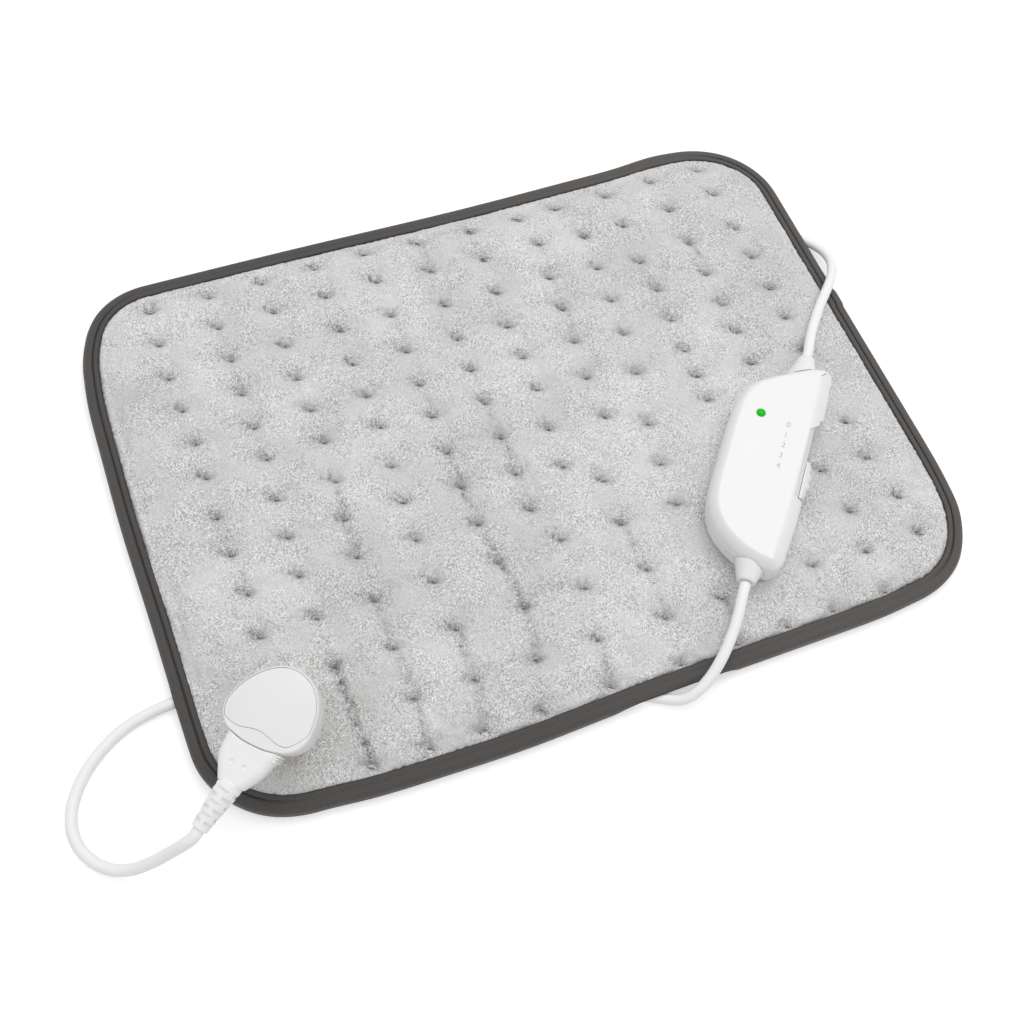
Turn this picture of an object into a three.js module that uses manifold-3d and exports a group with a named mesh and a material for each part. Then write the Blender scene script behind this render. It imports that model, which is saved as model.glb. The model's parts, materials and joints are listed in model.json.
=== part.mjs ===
import * as THREE from 'three';
import { mergeVertices } from 'three/addons/utils/BufferGeometryUtils.js';
import Module from 'manifold-3d';

// A heating pad lying flat, its slide controller resting on it, and the mains lead and fused
// plug that feed it. Millimetres, +Z up. The origin is the middle of the pad's underside and
// +X runs along the pad's long side.

const wasm = await Module();
wasm.setup();

// Clearances that every seat shares.
const touchGap = 0.3;
const cutOverrun = 2;
const weldDistance = 0.0001;
const circleSides = 12;

// The pad: covers held at the rim by a folded binding.
const pad = {
  length: 400,
  width: 300,
  cornerRadius: 45,
  crownHeight: 14,
  crownRun: 26,
  edgeTopHeight: 8.8,
  cornerSteps: 7,
};
const binding = {
  width: 8.4,
  height: 8.6,
  wall: 1.4,
  roundness: 3,
};
const bottomCover = { height: 6.3, shoulder: 14, seamHeight: 4.3 };
const heaterCarrier = { inset: 18, thickness: 0.6 };
const tuft = {
  columns: 12,
  rows: 13,
  endInset: 41.05,
  sideInset: 15.6,
  offsetX: 4,
  offsetY: -2.5,
  depth: 3.2,
  creaseDepth: 0.8,
  fadeWidth: 12,
  marginLines: 2,
};
const heatingWire = { diameter: 1.4, runs: 10, endInset: 47, sideInset: 37.5, tailGap: 9, sides: 5, turnSteps: 5 };
const cutOut = { length: 14, width: 7, height: 3.2, tuftsIn: 1.5, y: 5 };

// Cords and their bushes.
const cord = { diameter: 5.4, sides: 8, channelRoom: 0.3, mainsSteps: 60, leadSteps: 16 };
// The channel's section: shares of its half width and of its height over the cord's middle.
const channelShares = [[-1, -2], [1, -2], [1, 0.4], [0.7, 0.84], [0.3, 1], [-0.3, 1], [-0.7, 0.84], [-1, 0.4]];
const leadEntry = { fromEnd: 5.3, fromSide: 73.4, turn: 138.7, room: 1 };
const padGland = { width: 10, length: 16, slotRoom: 0.45 };
const junctionBlock = { length: 15, width: 14, height: 6.6, floor: 2.2 };

// The controller, in its own frame: u along it, v across, w up from its underside.
const controller = {
  length: 121,
  width: 46,
  height: 20,
  partingHeight: 9,
  wall: 2,
  edgeInset: 4.2,
  turn: 51,
  centreX: 104.3,
  centreY: -61.1,
};
// Outline points as shares of length and width, from the lead's end round by the straight side.
const controllerOutlineShares = [
  [0.5, -0.35], [0.478, -0.46], [0.36, -0.494], [0.12, -0.49], [-0.13, -0.476], [-0.34, -0.456],
  [-0.455, -0.42], [-0.495, -0.33], [-0.493, -0.18], [-0.475, 0.0], [-0.44, 0.18], [-0.385, 0.33],
  [-0.31, 0.43], [-0.22, 0.48], [-0.1, 0.5], [0.03, 0.5], [0.14, 0.488], [0.225, 0.44],
  [0.305, 0.355], [0.375, 0.235], [0.43, 0.09], [0.47, -0.07], [0.492, -0.22],
];
const controllerOutlineSteps = 40;
const slider = {
  travel: 24.8,
  knobLength: 19.2,
  knobHeight: 10.6,
  knobFloor: 4.8,
  knobProud: 1.8,
  knobRibs: 5,
  ribDepth: 0.7,
  recessDepth: 3.6,
  recessFloor: 4.2,
  endRoom: 0.4,
  leadRoom: 9,
  stemLength: 5,
  stemHeight: 2.4,
  stemReach: 6,
  ledgeWall: 1.6,
};
// Where the outline turns its two profiles: shares of the edge inset and of the shell's height.
const bottomProfileShares = [[1, 0], [0.5, 0.1], [0.14, 0.4], [0, 1]];
const topProfileShares = [[0, 0], [0.04, 0.2], [0.3, 0.66], [0.66, 0.9], [1, 1]];
const bush = {
  flangeRadius: 7.4,
  seatDepth: 6,
  neckRadius: 4.9,
  ringRadius: 6.2,
  ringLength: 2,
  mouthRadius: 4.1,
  mouthLip: 1.6,
  sides: 16,
};
const bushEnds = {
  mains: { side: -1, ringInset: 9.5, mouthReach: 7, v: -5.6 },
  lead: { side: 1, ringInset: 11, mouthReach: 8, v: -7.6 },
};
const board = { inset: 4.4, floor: 5.4, thickness: 1.6 };
const shellScrew = { headRadius: 2.9, headHeight: 2, shaftRadius: 1.4, length: 13, bossRadius: 3.6, recess: 1.2 };
const shellScrewShares = [[-0.3, 0.3], [0.33, 0.18]];
const sliderScrewShare = -0.3;
// The lens's dome: shares of its radius and of how far it stands proud.
const lensDomeShares = [[1, 0], [0.8, 0.6], [0.4, 0.92], [0, 1]];
const lens = { radius: 2.1, proud: 0.7, flangeRadius: 3, flangeHeight: 0.8, stemDrop: 6.2, u: 20.7, v: 9.1 };
const indicator = { radius: 1.5, rimRadius: 1.9, rimHeight: 0.9 };
const switchBody = { depth: 9, topGap: 2.3, overhang: 4 };
const heatSink = { length: 20, width: 3.4, topGap: 2.2, v: 4, finDepth: 1.4, finPitch: 4 };
const triac = { length: 10, width: 4, topGap: 2.7, endGap: 1.5 };
const capacitor = { length: 15, width: 7, topGap: 2.7, u: 5.5, fromBack: 11 };
const boardFuse = { radius: 2.2, length: 16, u: -12, fromBack: 9 };
const resistor = { radius: 1.6, length: 9, u: 10, v: 1 };
const terminal = { length: 7, width: 12, height: 7, ringGap: 7.5, slotWidth: 3, slotDepth: 1.5 };
const wireShares = [0, 0.3, 0.7, 1];
const wire = { diameter: 1.8, spacing: 2.6, fan: 5, sides: 6, endGap: 0.6 };

// The plug, in its own frame: a from the cord towards the far side, b across, c up from the lid.
const plug = {
  cordMargin: 7.5,
  farMargin: 6.8,
  sideMargin: 5.925,
  height: 18,
  wallHeight: 10,
  drawIn: 0.9,
  topRound: 1.6,
  wall: 2,
  lidHeight: 4,
  crescentWidth: 5.7,
  seamSwing: 0.9,
  seamSteps: 12,
  crescentDrop: 0.7,
  cavityTop: 2.4,
  outlineSteps: 36,
  turn: 43,
  centreX: -162.8,
  centreY: -112.8,
};
// Half of the head's outline, as shares of its length from the cord side and of its half width.
const plugOutlineShares = [
  [0, 0.1], [0.005, 0.25], [0.024, 0.426], [0.05, 0.584], [0.098, 0.752], [0.194, 0.92], [0.32, 0.995],
  [0.52, 0.95], [0.718, 0.8], [0.864, 0.58], [0.957, 0.32], [0.995, 0.09],
];
// The head's side, as shares of its draw-in below or its top round, and of how far down it is.
const headSideShares = [[1, 1], [0.5, 0.95], [0.12, 0.6], [0, 0.53]];
const headTopShares = [[0, 0.1], [0.34, 0.035], [1, 0]];
const pinSize = {
  lineWidth: 6.35,
  lineThickness: 3.95,
  lineLength: 17.7,
  earthWidth: 3.95,
  earthThickness: 7.92,
  earthLength: 22.7,
  spacing: 22.2,
  lineA: -8,
  chamfer: 1,
  root: 1.6,
  flangeReach: 0.7,
  flangeHeight: 1,
};
const fuse = { radius: 3.17, length: 25.4 };
const fuseCarrier = { wall: 1, faceHeight: 1.5, height: 5.6 };
const cablePlug = {
  axisDrop: 7,
  bodyReach: 6.1,
  bodyWidth: 23.8,
  bodyHeight: 9.4,
  middleB: 0.5,
  collarLength: 1.5,
  collarWidth: 25,
  collarHeight: 10.6,
  neckLength: 16.1,
  roundness: 3.6,
  pinRadius: 2,
  pinLength: 16,
  pinInset: 2.6,
  pinRoot: 3,
};
// The fan-shaped neck as shares: how far along it, width and height against the collar's, and
// how far its middle line has moved to its end's.
const neckShares = [
  [0, 0.8, 0.86, 0], [0.06, 0.8, 0.86, 0.1], [0.08, 0.89, 0.95, 0.2], [0.2, 0.9, 0.97, 0.5],
  [0.4, 0.865, 0.97, 0.65], [0.62, 0.75, 0.95, 0.75], [0.83, 0.6, 0.9, 0.85], [1, 0.485, 0.86, 1],
];
const contactClip = { length: 7, size: 6.2, endGap: 1.3, legLength: 2.4, legWidth: 3 };
const lidScrew = {
  headRadius: 2.2,
  headHeight: 1.3,
  shaftRadius: 1.1,
  length: 11,
  carrierGap: 1.1,
  b: 8.2,
  bossRadius: 2.1,
  seat: 1.8,
};
// Where each groove starts and ends, as shares of the pitch.
const grooveShares = [0.55, 0.9];
const plugRelief = {
  length: 21.6,
  startRadius: 5.8,
  endRadius: 4,
  grooves: 4,
  grooveDepth: 0.9,
  turn: -8.2,
  middleB: 1.6,
  sides: 14,
};

// Everything below is worked out from the values above.

const halfLength = pad.length / 2;
const halfWidth = pad.width / 2;
const cordRadius = cord.diameter / 2;
const degrees = THREE.MathUtils.degToRad;
const up = new THREE.Vector3(0, 0, 1);

// Solids in and out of the cutting library.

function solidOf(geometry) {
  const bare = new THREE.BufferGeometry();
  bare.setAttribute('position', geometry.attributes.position.clone());
  if (geometry.index) bare.setIndex(geometry.index.clone());
  const merged = mergeVertices(bare, weldDistance);
  return new wasm.Manifold(new wasm.Mesh({
    numProp: 3,
    vertProperties: new Float32Array(merged.attributes.position.array),
    triVerts: new Uint32Array(merged.index.array),
  }));
}

function geometryOf(solid) {
  const mesh = solid.getMesh();
  const geometry = new THREE.BufferGeometry();
  geometry.setAttribute('position', new THREE.BufferAttribute(new Float32Array(mesh.vertProperties), 3));
  geometry.setIndex(new THREE.BufferAttribute(new Uint32Array(mesh.triVerts), 1));
  geometry.computeVertexNormals();
  return geometry;
}

function cut(geometry, ...tools) {
  return geometryOf(tools.reduce((solid, tool) => solid.subtract(solidOf(tool)), solidOf(geometry)));
}

function join(geometry, ...others) {
  return geometryOf(others.reduce((solid, other) => solid.add(solidOf(other)), solidOf(geometry)));
}

function keepInside(geometry, envelope) {
  return geometryOf(solidOf(geometry).intersect(solidOf(envelope)));
}

// Faces built by hand are turned outwards by the sign of the volume that they enclose.
function closedSurface(points, triangles) {
  const corners = [new THREE.Vector3(), new THREE.Vector3(), new THREE.Vector3()];
  let volume = 0;
  for (const triangle of triangles) {
    triangle.forEach((index, slot) => corners[slot].copy(points[index]));
    volume += corners[0].dot(corners[1].cross(corners[2]));
  }
  const outward = volume > 0 ? triangles : triangles.map(([first, second, third]) => [first, third, second]);
  const geometry = new THREE.BufferGeometry().setFromPoints(points);
  geometry.setIndex(outward.flat());
  geometry.computeVertexNormals();
  return geometry;
}

// The skin between rings of equal point count; the last ring joins the first in a loop.
function skinTriangles(ringCount, sides, loop) {
  const triangles = [];
  const bands = loop ? ringCount : ringCount - 1;
  for (let band = 0; band < bands; band += 1) {
    const here = band * sides;
    const there = ((band + 1) % ringCount) * sides;
    for (let side = 0; side < sides; side += 1) {
      const next = (side + 1) % sides;
      triangles.push([here + side, here + next, there + next], [here + side, there + next, there + side]);
    }
  }
  return triangles;
}

function loft(rings) {
  const sides = rings[0].length;
  const points = rings.flat();
  const triangles = skinTriangles(rings.length, sides, false);
  const capRing = (ring, offset, reverse) => {
    const middle = ring.reduce((sum, point) => sum.add(point), new THREE.Vector3()).divideScalar(sides);
    const hub = points.push(middle) - 1;
    for (let side = 0; side < sides; side += 1) {
      const next = (side + 1) % sides;
      const pair = reverse ? [offset + next, offset + side] : [offset + side, offset + next];
      triangles.push([hub, ...pair]);
    }
  };
  capRing(rings[0], 0, true);
  capRing(rings.at(-1), (rings.length - 1) * sides, false);
  return closedSurface(points, triangles);
}

function ringLoft(rings) {
  return closedSurface(rings.flat(), skinTriangles(rings.length, rings[0].length, true));
}

// Outlines are closed lists of 2D points.

function roundedRectangle(length, width, radius, steps) {
  const outline = [];
  const corners = [[1, 1], [-1, 1], [-1, -1], [1, -1]];
  corners.forEach(([signX, signY], quarter) => {
    for (let step = 0; step <= steps; step += 1) {
      const angle = (quarter + step / steps) * Math.PI / 2;
      outline.push(new THREE.Vector2(
        signX * (length / 2 - radius) + radius * Math.cos(angle),
        signY * (width / 2 - radius) + radius * Math.sin(angle),
      ));
    }
  });
  return outline;
}

function padOutline(inset) {
  const radius = pad.cornerRadius - inset;
  return roundedRectangle(pad.length - 2 * inset, pad.width - 2 * inset, radius, pad.cornerSteps);
}

function smoothOutline(points, steps) {
  const guide = points.map(([x, y]) => new THREE.Vector3(x, y, 0));
  const curve = new THREE.CatmullRomCurve3(guide, true, 'centripetal');
  return curve.getSpacedPoints(steps).slice(0, steps).map((point) => new THREE.Vector2(point.x, point.y));
}

function insetOutline(outline, inset) {
  const count = outline.length;
  const turnSign = THREE.ShapeUtils.isClockWise(outline) ? -1 : 1;
  return outline.map((point, index) => {
    const before = outline[(index + count - 1) % count];
    const after = outline[(index + 1) % count];
    const along = after.clone().sub(before).normalize();
    return new THREE.Vector2(point.x - turnSign * along.y * inset, point.y + turnSign * along.x * inset);
  });
}

const atHeight = (outline, height) => outline.map((point) => new THREE.Vector3(point.x, point.y, height));

// Plain shapes placed by their middle, or stood on a height.

function box(sizeX, sizeY, sizeZ, x, y, z) {
  return new THREE.BoxGeometry(sizeX, sizeY, sizeZ).translate(x, y, z);
}

function boxOnFloor(sizeX, sizeY, sizeZ, x, y, floor) {
  return box(sizeX, sizeY, sizeZ, x, y, floor + sizeZ / 2);
}

function post(radius, height, x, y, floor, sides = circleSides) {
  return new THREE.CylinderGeometry(radius, radius, height, sides)
    .rotateX(Math.PI / 2)
    .translate(x, y, floor + height / 2);
}

// A turned shape: profile pairs are radius and distance along the axis.
function turned(profile, sides = circleSides) {
  return new THREE.LatheGeometry(profile.map(([radius, along]) => new THREE.Vector2(radius, along)), sides);
}

const alongX = (geometry) => geometry.rotateZ(-Math.PI / 2);
const alongZ = (geometry) => geometry.rotateX(Math.PI / 2);

// Sweeps keep one side of the section level, because no route here ever stands upright.
function sweep(route, section) {
  const rings = route.map((point, index) => {
    const before = route[Math.max(index - 1, 0)];
    const after = route[Math.min(index + 1, route.length - 1)];
    const ahead = after.clone().sub(before).normalize();
    const side = ahead.clone().cross(up).normalize();
    const rise = side.clone().cross(ahead);
    return section.map((corner) =>
      point.clone().addScaledVector(side, corner.x).addScaledVector(rise, corner.y));
  });
  return loft(rings);
}

function circleSection(radius, sides) {
  return Array.from({ length: sides }, (_, index) => {
    const angle = (index / sides) * 2 * Math.PI;
    return new THREE.Vector2(radius * Math.cos(angle), radius * Math.sin(angle));
  });
}

function tube(route, radius, sides) {
  return sweep(route, circleSection(radius, sides));
}

// The scene graph: one named mesh for each piece.

const product = new THREE.Group();

function addPiece(parent, name, geometry, finish) {
  const mesh = new THREE.Mesh(geometry, finish);
  mesh.name = name;
  parent.add(mesh);
  return mesh;
}

function finishOf(color, roughness, metalness = 0) {
  return new THREE.MeshStandardMaterial({ color, roughness, metalness });
}

const finishes = {
  fleece: finishOf(0xc9c9ca, 1),
  backing: finishOf(0xb9b9bb, 1),
  binding: finishOf(0x54504d, 0.9),
  carrier: finishOf(0xe4e2dc, 0.95),
  heatingWire: finishOf(0xd9dbde, 0.5),
  protector: finishOf(0x2d2f33, 0.5),
  whiteCase: finishOf(0xf0f0f0, 0.25),
  whiteCord: finishOf(0xe9e9e9, 0.45),
  knob: finishOf(0xe2e2e2, 0.35),
  lens: finishOf(0x2fd04a, 0.15),
  board: finishOf(0x2f6b3a, 0.5),
  blackPlastic: finishOf(0x222326, 0.5),
  blueFilm: finishOf(0x2b5f9e, 0.4),
  ceramic: finishOf(0xd8cdb6, 0.6),
  glassFuse: finishOf(0xcfd6d4, 0.2),
  greenTerminal: finishOf(0x3b8f5a, 0.45),
  aluminium: finishOf(0xb6b9bc, 0.4, 0.9),
  steel: finishOf(0xb9bcc0, 0.3, 1),
  brass: finishOf(0xc7a75a, 0.3, 1),
  brownWire: finishOf(0x6b4128, 0.5),
  blueWire: finishOf(0x3466a8, 0.5),
};

// Routes of the cords. The points are chosen by hand along the line that each cord takes.

const mainsLeadPoints = [
  [65.9, -117.5, 23.4], [63.3, -120.7, 23.3], [60.1, -125.1, 22.4], [54.9, -132.1, 20.5], [48.2, -139.5, 18.3],
  [41.8, -145.5, 15.8], [35.9, -150.0, 13.3], [30.3, -153.2, 11.0], [25.6, -154.9, 8.8], [21.4, -155.4, 6.6],
  [17.2, -154.4, 4.7], [12.8, -151.8, 3.4], [7.4, -148.8, 2.9], [-2, -144.2, 2.9], [-20, -135.2, 2.9],
  [-45, -122.4, 2.9], [-75, -107.2, 2.9], [-105, -93.6, 2.9], [-135, -83.2, 2.9], [-168, -77.2, 2.9],
  [-200.5, -77.0, 2.9], [-212.2, -78.3, 2.9], [-223.0, -81.2, 2.9], [-233.2, -86.4, 2.9],
  [-242.2, -93.4, 2.9], [-249.4, -102.0, 2.9], [-254.1, -111.6, 2.9], [-255.2, -121.8, 2.9],
  [-251.8, -132.1, 3.1], [-244.8, -140.0, 4.3], [-237.4, -144.1, 7.4], [-228.2, -146.3, 13.4],
  [-218.3, -147.1, 21.3], [-211.4, -147.5, 27.7], [-206.8, -146.7, 30.4], [-203.9, -144.7, 31.4],
];
const padLeadPoints = [
  [153.7, -12.2, 23.4], [156.4, -8.9, 23.2], [160.9, -2.9, 21.6], [166.9, 4.6, 19.2], [174.3, 13.0, 17.3],
  [182.6, 21.7, 15.2], [190.8, 29.6, 13.0], [197.9, 36.7, 11.3], [203.2, 43.4, 9.6], [206.8, 50.7, 7.8],
  [207.7, 58.0, 6.0], [205.8, 64.6, 4.8], [201.6, 70.4, 4.4], [195.1, 76.2, 4.4],
];
const channelSteps = 24;

// The pad.

const padCrown = pad.crownHeight;
const rimGap = binding.width + touchGap;
const rimInset = binding.wall + 2 * touchGap;
const slotFloor = binding.wall;
const slotRoof = binding.height - binding.wall;
const underTopCover = bottomCover.height + heaterCarrier.thickness + heatingWire.diameter + 3 * touchGap;
const columnPitch = (pad.length - 2 * tuft.endInset) / (tuft.columns - 1);
const rowPitch = (pad.width - 2 * tuft.sideInset) / (tuft.rows - 1);
const tuftX = (column) => tuft.offsetX + (column - (tuft.columns - 1) / 2) * columnPitch;
const tuftY = (row) => tuft.offsetY + (row - (tuft.rows - 1) / 2) * rowPitch;
const entryX = halfLength - leadEntry.fromEnd;
const entryY = halfWidth - leadEntry.fromSide;
const entryZ = binding.height / 2;

function depthInsidePad(x, y) {
  const outX = Math.abs(x) - (halfLength - pad.cornerRadius);
  const outY = Math.abs(y) - (halfWidth - pad.cornerRadius);
  const outside = Math.hypot(Math.max(outX, 0), Math.max(outY, 0)) + Math.min(Math.max(outX, outY), 0);
  return pad.cornerRadius - outside;
}

function crownAt(x, y) {
  const reach = THREE.MathUtils.clamp((depthInsidePad(x, y) - binding.width) / pad.crownRun, 0, 1);
  return pad.edgeTopHeight + (padCrown - pad.edgeTopHeight) * Math.sin(reach * Math.PI / 2);
}

// Grid lines run through every tuft, halfway between tufts, and out over the margins.
function gridLines(firstTuft, lastTuft, pitch, limit) {
  const lines = [];
  for (let line = firstTuft - pitch / 2; line < lastTuft + pitch; line += pitch / 2) lines.push(line);
  const low = lines[0];
  const high = lines.at(-1);
  for (let step = 1; step <= tuft.marginLines; step += 1) {
    const share = step / tuft.marginLines;
    lines.unshift(THREE.MathUtils.lerp(low, -limit - cutOverrun, share));
    lines.push(THREE.MathUtils.lerp(high, limit + cutOverrun, share));
  }
  return lines;
}

// Heights over a grid: a tuft where both lines cross one, a shallow crease between tufts.
function quiltedSlab() {
  const linesX = gridLines(tuftX(0), tuftX(tuft.columns - 1), columnPitch, halfLength);
  const linesY = gridLines(tuftY(0), tuftY(tuft.rows - 1), rowPitch, halfWidth);
  const points = [];
  const tuftRank = (line, lines) => {
    const rank = line - tuft.marginLines - 1;
    const last = lines.length - 2 * (tuft.marginLines + 1);
    return rank >= 0 && rank < last ? rank : 1;
  };
  linesY.forEach((y, row) => linesX.forEach((x, column) => {
    const onColumn = tuftRank(column, linesX) % 2 === 0;
    const onRow = tuftRank(row, linesY) % 2 === 0;
    const drop = onColumn && onRow ? tuft.depth : onColumn || onRow ? tuft.creaseDepth : 0;
    const fade = THREE.MathUtils.clamp((depthInsidePad(x, y) - rimGap) / tuft.fadeWidth, 0, 1);
    points.push(new THREE.Vector3(x, y, crownAt(x, y) - drop * fade));
  }));
  const topCount = points.length;
  const across = linesX.length;
  points.slice(0, topCount).forEach((point) => points.push(new THREE.Vector3(point.x, point.y, -cutOverrun)));
  const triangles = [];
  const quad = (first, second, third, fourth) =>
    triangles.push([first, second, third], [first, third, fourth]);
  for (let row = 0; row < linesY.length - 1; row += 1) {
    for (let column = 0; column < across - 1; column += 1) {
      const low = row * across + column;
      const high = low + across;
      const ring = (row + column) % 2 === 0 ? [low, low + 1, high + 1, high] : [low + 1, high + 1, high, low];
      quad(...ring);
      quad(...ring.map((index) => index + topCount).reverse());
    }
  }
  const rimLoop = [];
  for (let column = 0; column < across; column += 1) rimLoop.push(column);
  for (let row = 1; row < linesY.length; row += 1) rimLoop.push(row * across + across - 1);
  for (let column = across - 2; column >= 0; column -= 1) rimLoop.push((linesY.length - 1) * across + column);
  for (let row = linesY.length - 2; row > 0; row -= 1) rimLoop.push(row * across);
  rimLoop.forEach((index, slot) => {
    const next = rimLoop[(slot + 1) % rimLoop.length];
    quad(index, index + topCount, next + topCount, next);
  });
  return closedSurface(points, triangles);
}

const ringsFrom = (pairs) => pairs.map(([inset, height]) => atHeight(padOutline(inset), height));

function padBinding() {
  const { width, height, wall, roundness } = binding;
  return ringLoft(ringsFrom([
    [roundness, 0], [roundness / 3, wall / 2], [0, roundness], [0, height - roundness],
    [roundness / 3, height - wall / 2], [roundness, height], [width, height - touchGap], [width, slotRoof],
    [wall, slotRoof], [wall, slotFloor], [width, slotFloor], [width, touchGap],
  ]));
}

function topCoverEnvelope() {
  const seam = bottomCover.seamHeight + touchGap;
  return loft(ringsFrom([
    [bottomCover.shoulder, underTopCover], [rimGap, seam], [rimInset, seam], [rimInset, slotRoof - touchGap],
    [rimGap, slotRoof - touchGap], [rimGap, padCrown + cutOverrun],
  ]));
}

function bottomCoverBody() {
  const { shoulder, height, seamHeight } = bottomCover;
  return loft(ringsFrom([
    [rimGap, 0], [rimGap, slotFloor + touchGap], [rimInset, slotFloor + touchGap], [rimInset, seamHeight],
    [rimGap, seamHeight], [shoulder, height],
  ]));
}

// The pad lead's entry has its own frame: along the lead's heading, from the entry point.
function atLeadEntry(geometry) {
  return geometry.rotateZ(degrees(leadEntry.turn)).translate(entryX, entryY, 0);
}

function glandBlock(room, back = 0) {
  const { width, length, slotRoom } = padGland;
  const height = slotRoof - slotFloor - 2 * slotRoom;
  const reach = length + 2 * room + back;
  return atLeadEntry(box(reach, width + 2 * room, height + 2 * room, (length - back) / 2, 0, entryZ));
}

function junctionBox(room) {
  const { length, width, height, floor } = junctionBlock;
  const middle = padGland.length + touchGap + length / 2;
  return atLeadEntry(boxOnFloor(length + 2 * room, width + 2 * room, height + 2 * room, middle, 0, floor - room));
}

// The way that the lead takes through the binding to its gland.
function leadChannel() {
  const width = cord.diameter + 2 * leadEntry.room;
  const height = cord.diameter + 2 * touchGap;
  const reach = pad.cornerRadius / 2;
  return atLeadEntry(box(reach, width, height, -reach / 2 + padGland.length / 2, 0, entryZ));
}

// The mains lead lies under the pad in a channel that is open to the floor.
function mainsChannel() {
  const under = mainsLeadPoints.filter(([x, y, z]) => z < cord.diameter && depthInsidePad(x, y) > -cord.diameter);
  const guide = new THREE.CatmullRomCurve3(under.map((point) => new THREE.Vector3(...point)));
  const half = cordRadius + 2 * cord.channelRoom;
  const top = cordRadius + cord.channelRoom;
  const section = channelShares.map(([side, rise]) => new THREE.Vector2(side * half, rise * top));
  return sweep(guide.getSpacedPoints(channelSteps), section);
}

function cutOutBlock(side, room) {
  const column = side < 0 ? cutOut.tuftsIn : tuft.columns - 2 - cutOut.tuftsIn;
  const floor = bottomCover.height + heaterCarrier.thickness + 2 * touchGap;
  const { length, width, height } = cutOut;
  return boxOnFloor(length + 2 * room, width + 2 * room, height + 2 * room, tuftX(column), cutOut.y, floor - room);
}

function heatingWireRoute() {
  const { runs, endInset, sideInset, turnSteps, tailGap, diameter } = heatingWire;
  const height = bottomCover.height + heaterCarrier.thickness + diameter / 2 + 2 * touchGap;
  const route = [];
  const push = (x, y) => route.push(new THREE.Vector3(x, y, height));
  const endX = halfLength - endInset;
  const runPitch = (pad.width - 2 * sideInset) / (runs - 1);
  const runY = (run) => (run - (runs - 1) / 2) * runPitch;
  const turnRadius = runPitch / 2;
  const tailX = endX + turnRadius + tailGap;
  const entry = new THREE.Vector2(entryX, entryY);
  const heading = new THREE.Vector2(Math.cos(degrees(leadEntry.turn)), Math.sin(degrees(leadEntry.turn)));
  const across = new THREE.Vector2(-heading.y, heading.x);
  const blockMiddle = padGland.length + touchGap + junctionBlock.length / 2;
  const atBlock = (along, side) => entry.clone().addScaledVector(heading, along).addScaledVector(across, side);
  const nearSide = junctionBlock.width / 2 + touchGap;
  const sideFace = atBlock(blockMiddle, nearSide);
  const sideLeadIn = atBlock(blockMiddle, nearSide + turnRadius / 2);
  const farEnd = padGland.length + junctionBlock.length + 2 * touchGap;
  const endFace = atBlock(farEnd, 0);
  const endLeadIn = atBlock(farEnd + turnRadius / 2, 0);
  push(sideFace.x, sideFace.y);
  push(sideLeadIn.x, sideLeadIn.y);
  push(tailX, sideLeadIn.y - turnRadius / 2);
  for (let run = 0; run < runs; run += 1) {
    const toLeft = run % 2 === 0;
    if (run === 0) {
      push(tailX, runY(0) + turnRadius);
      push(tailX - turnRadius / 2, runY(0) + turnRadius / 4);
    }
    push(toLeft ? endX : -endX, runY(run));
    push(toLeft ? -endX : endX, runY(run));
    if (run === runs - 1) break;
    for (let step = 1; step < turnSteps; step += 1) {
      const angle = -Math.PI / 2 + (step / turnSteps) * Math.PI;
      const reach = endX + turnRadius * Math.cos(angle);
      push(toLeft ? -reach : reach, runY(run) + turnRadius + turnRadius * Math.sin(angle));
    }
  }
  push(endLeadIn.x, endLeadIn.y);
  push(endFace.x, endFace.y);
  return route;
}

function addPad(parent) {
  const entryTools = [glandBlock(touchGap, binding.width), leadChannel(), junctionBox(touchGap)];
  const cutOutTools = [cutOutBlock(-1, touchGap), cutOutBlock(1, touchGap)];
  const topCover = cut(
    keepInside(quiltedSlab(), topCoverEnvelope()), mainsChannel(), ...entryTools, ...cutOutTools,
  );
  addPiece(parent, 'pad_top_cover', topCover, finishes.fleece);
  addPiece(parent, 'pad_bottom_cover', cut(bottomCoverBody(), mainsChannel(), ...entryTools), finishes.backing);
  addPiece(parent, 'pad_edge_binding', cut(padBinding(), mainsChannel(), leadChannel()), finishes.binding);
  const carrierFloor = bottomCover.height + touchGap;
  const sheet = loft([carrierFloor, carrierFloor + heaterCarrier.thickness]
    .map((height) => atHeight(padOutline(heaterCarrier.inset), height)));
  addPiece(parent, 'pad_heater_carrier', cut(sheet, glandBlock(touchGap), junctionBox(touchGap)), finishes.carrier);
  const wireTube = tube(heatingWireRoute(), heatingWire.diameter / 2, heatingWire.sides);
  addPiece(parent, 'pad_heating_wire', wireTube, finishes.heatingWire);
  addPiece(parent, 'pad_overheat_cutout_left', cutOutBlock(-1, 0), finishes.protector);
  addPiece(parent, 'pad_overheat_cutout_right', cutOutBlock(1, 0), finishes.protector);
  addPiece(parent, 'pad_lead_gland', glandBlock(0), finishes.whiteCord);
  addPiece(parent, 'pad_junction_block', junctionBox(0), finishes.protector);
}

// The cords.

function cordTube(points, steps) {
  const route = new THREE.CatmullRomCurve3(points.map((point) => new THREE.Vector3(...point)));
  const section = new THREE.Shape(circleSection(cordRadius, cord.sides));
  return new THREE.ExtrudeGeometry(section, { steps, bevelEnabled: false, extrudePath: route });
}

function addCords(parent) {
  addPiece(parent, 'mains_lead', cordTube(mainsLeadPoints, cord.mainsSteps), finishes.whiteCord);
  addPiece(parent, 'pad_lead', cordTube(padLeadPoints, cord.leadSteps), finishes.whiteCord);
}

// The controller.

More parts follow.
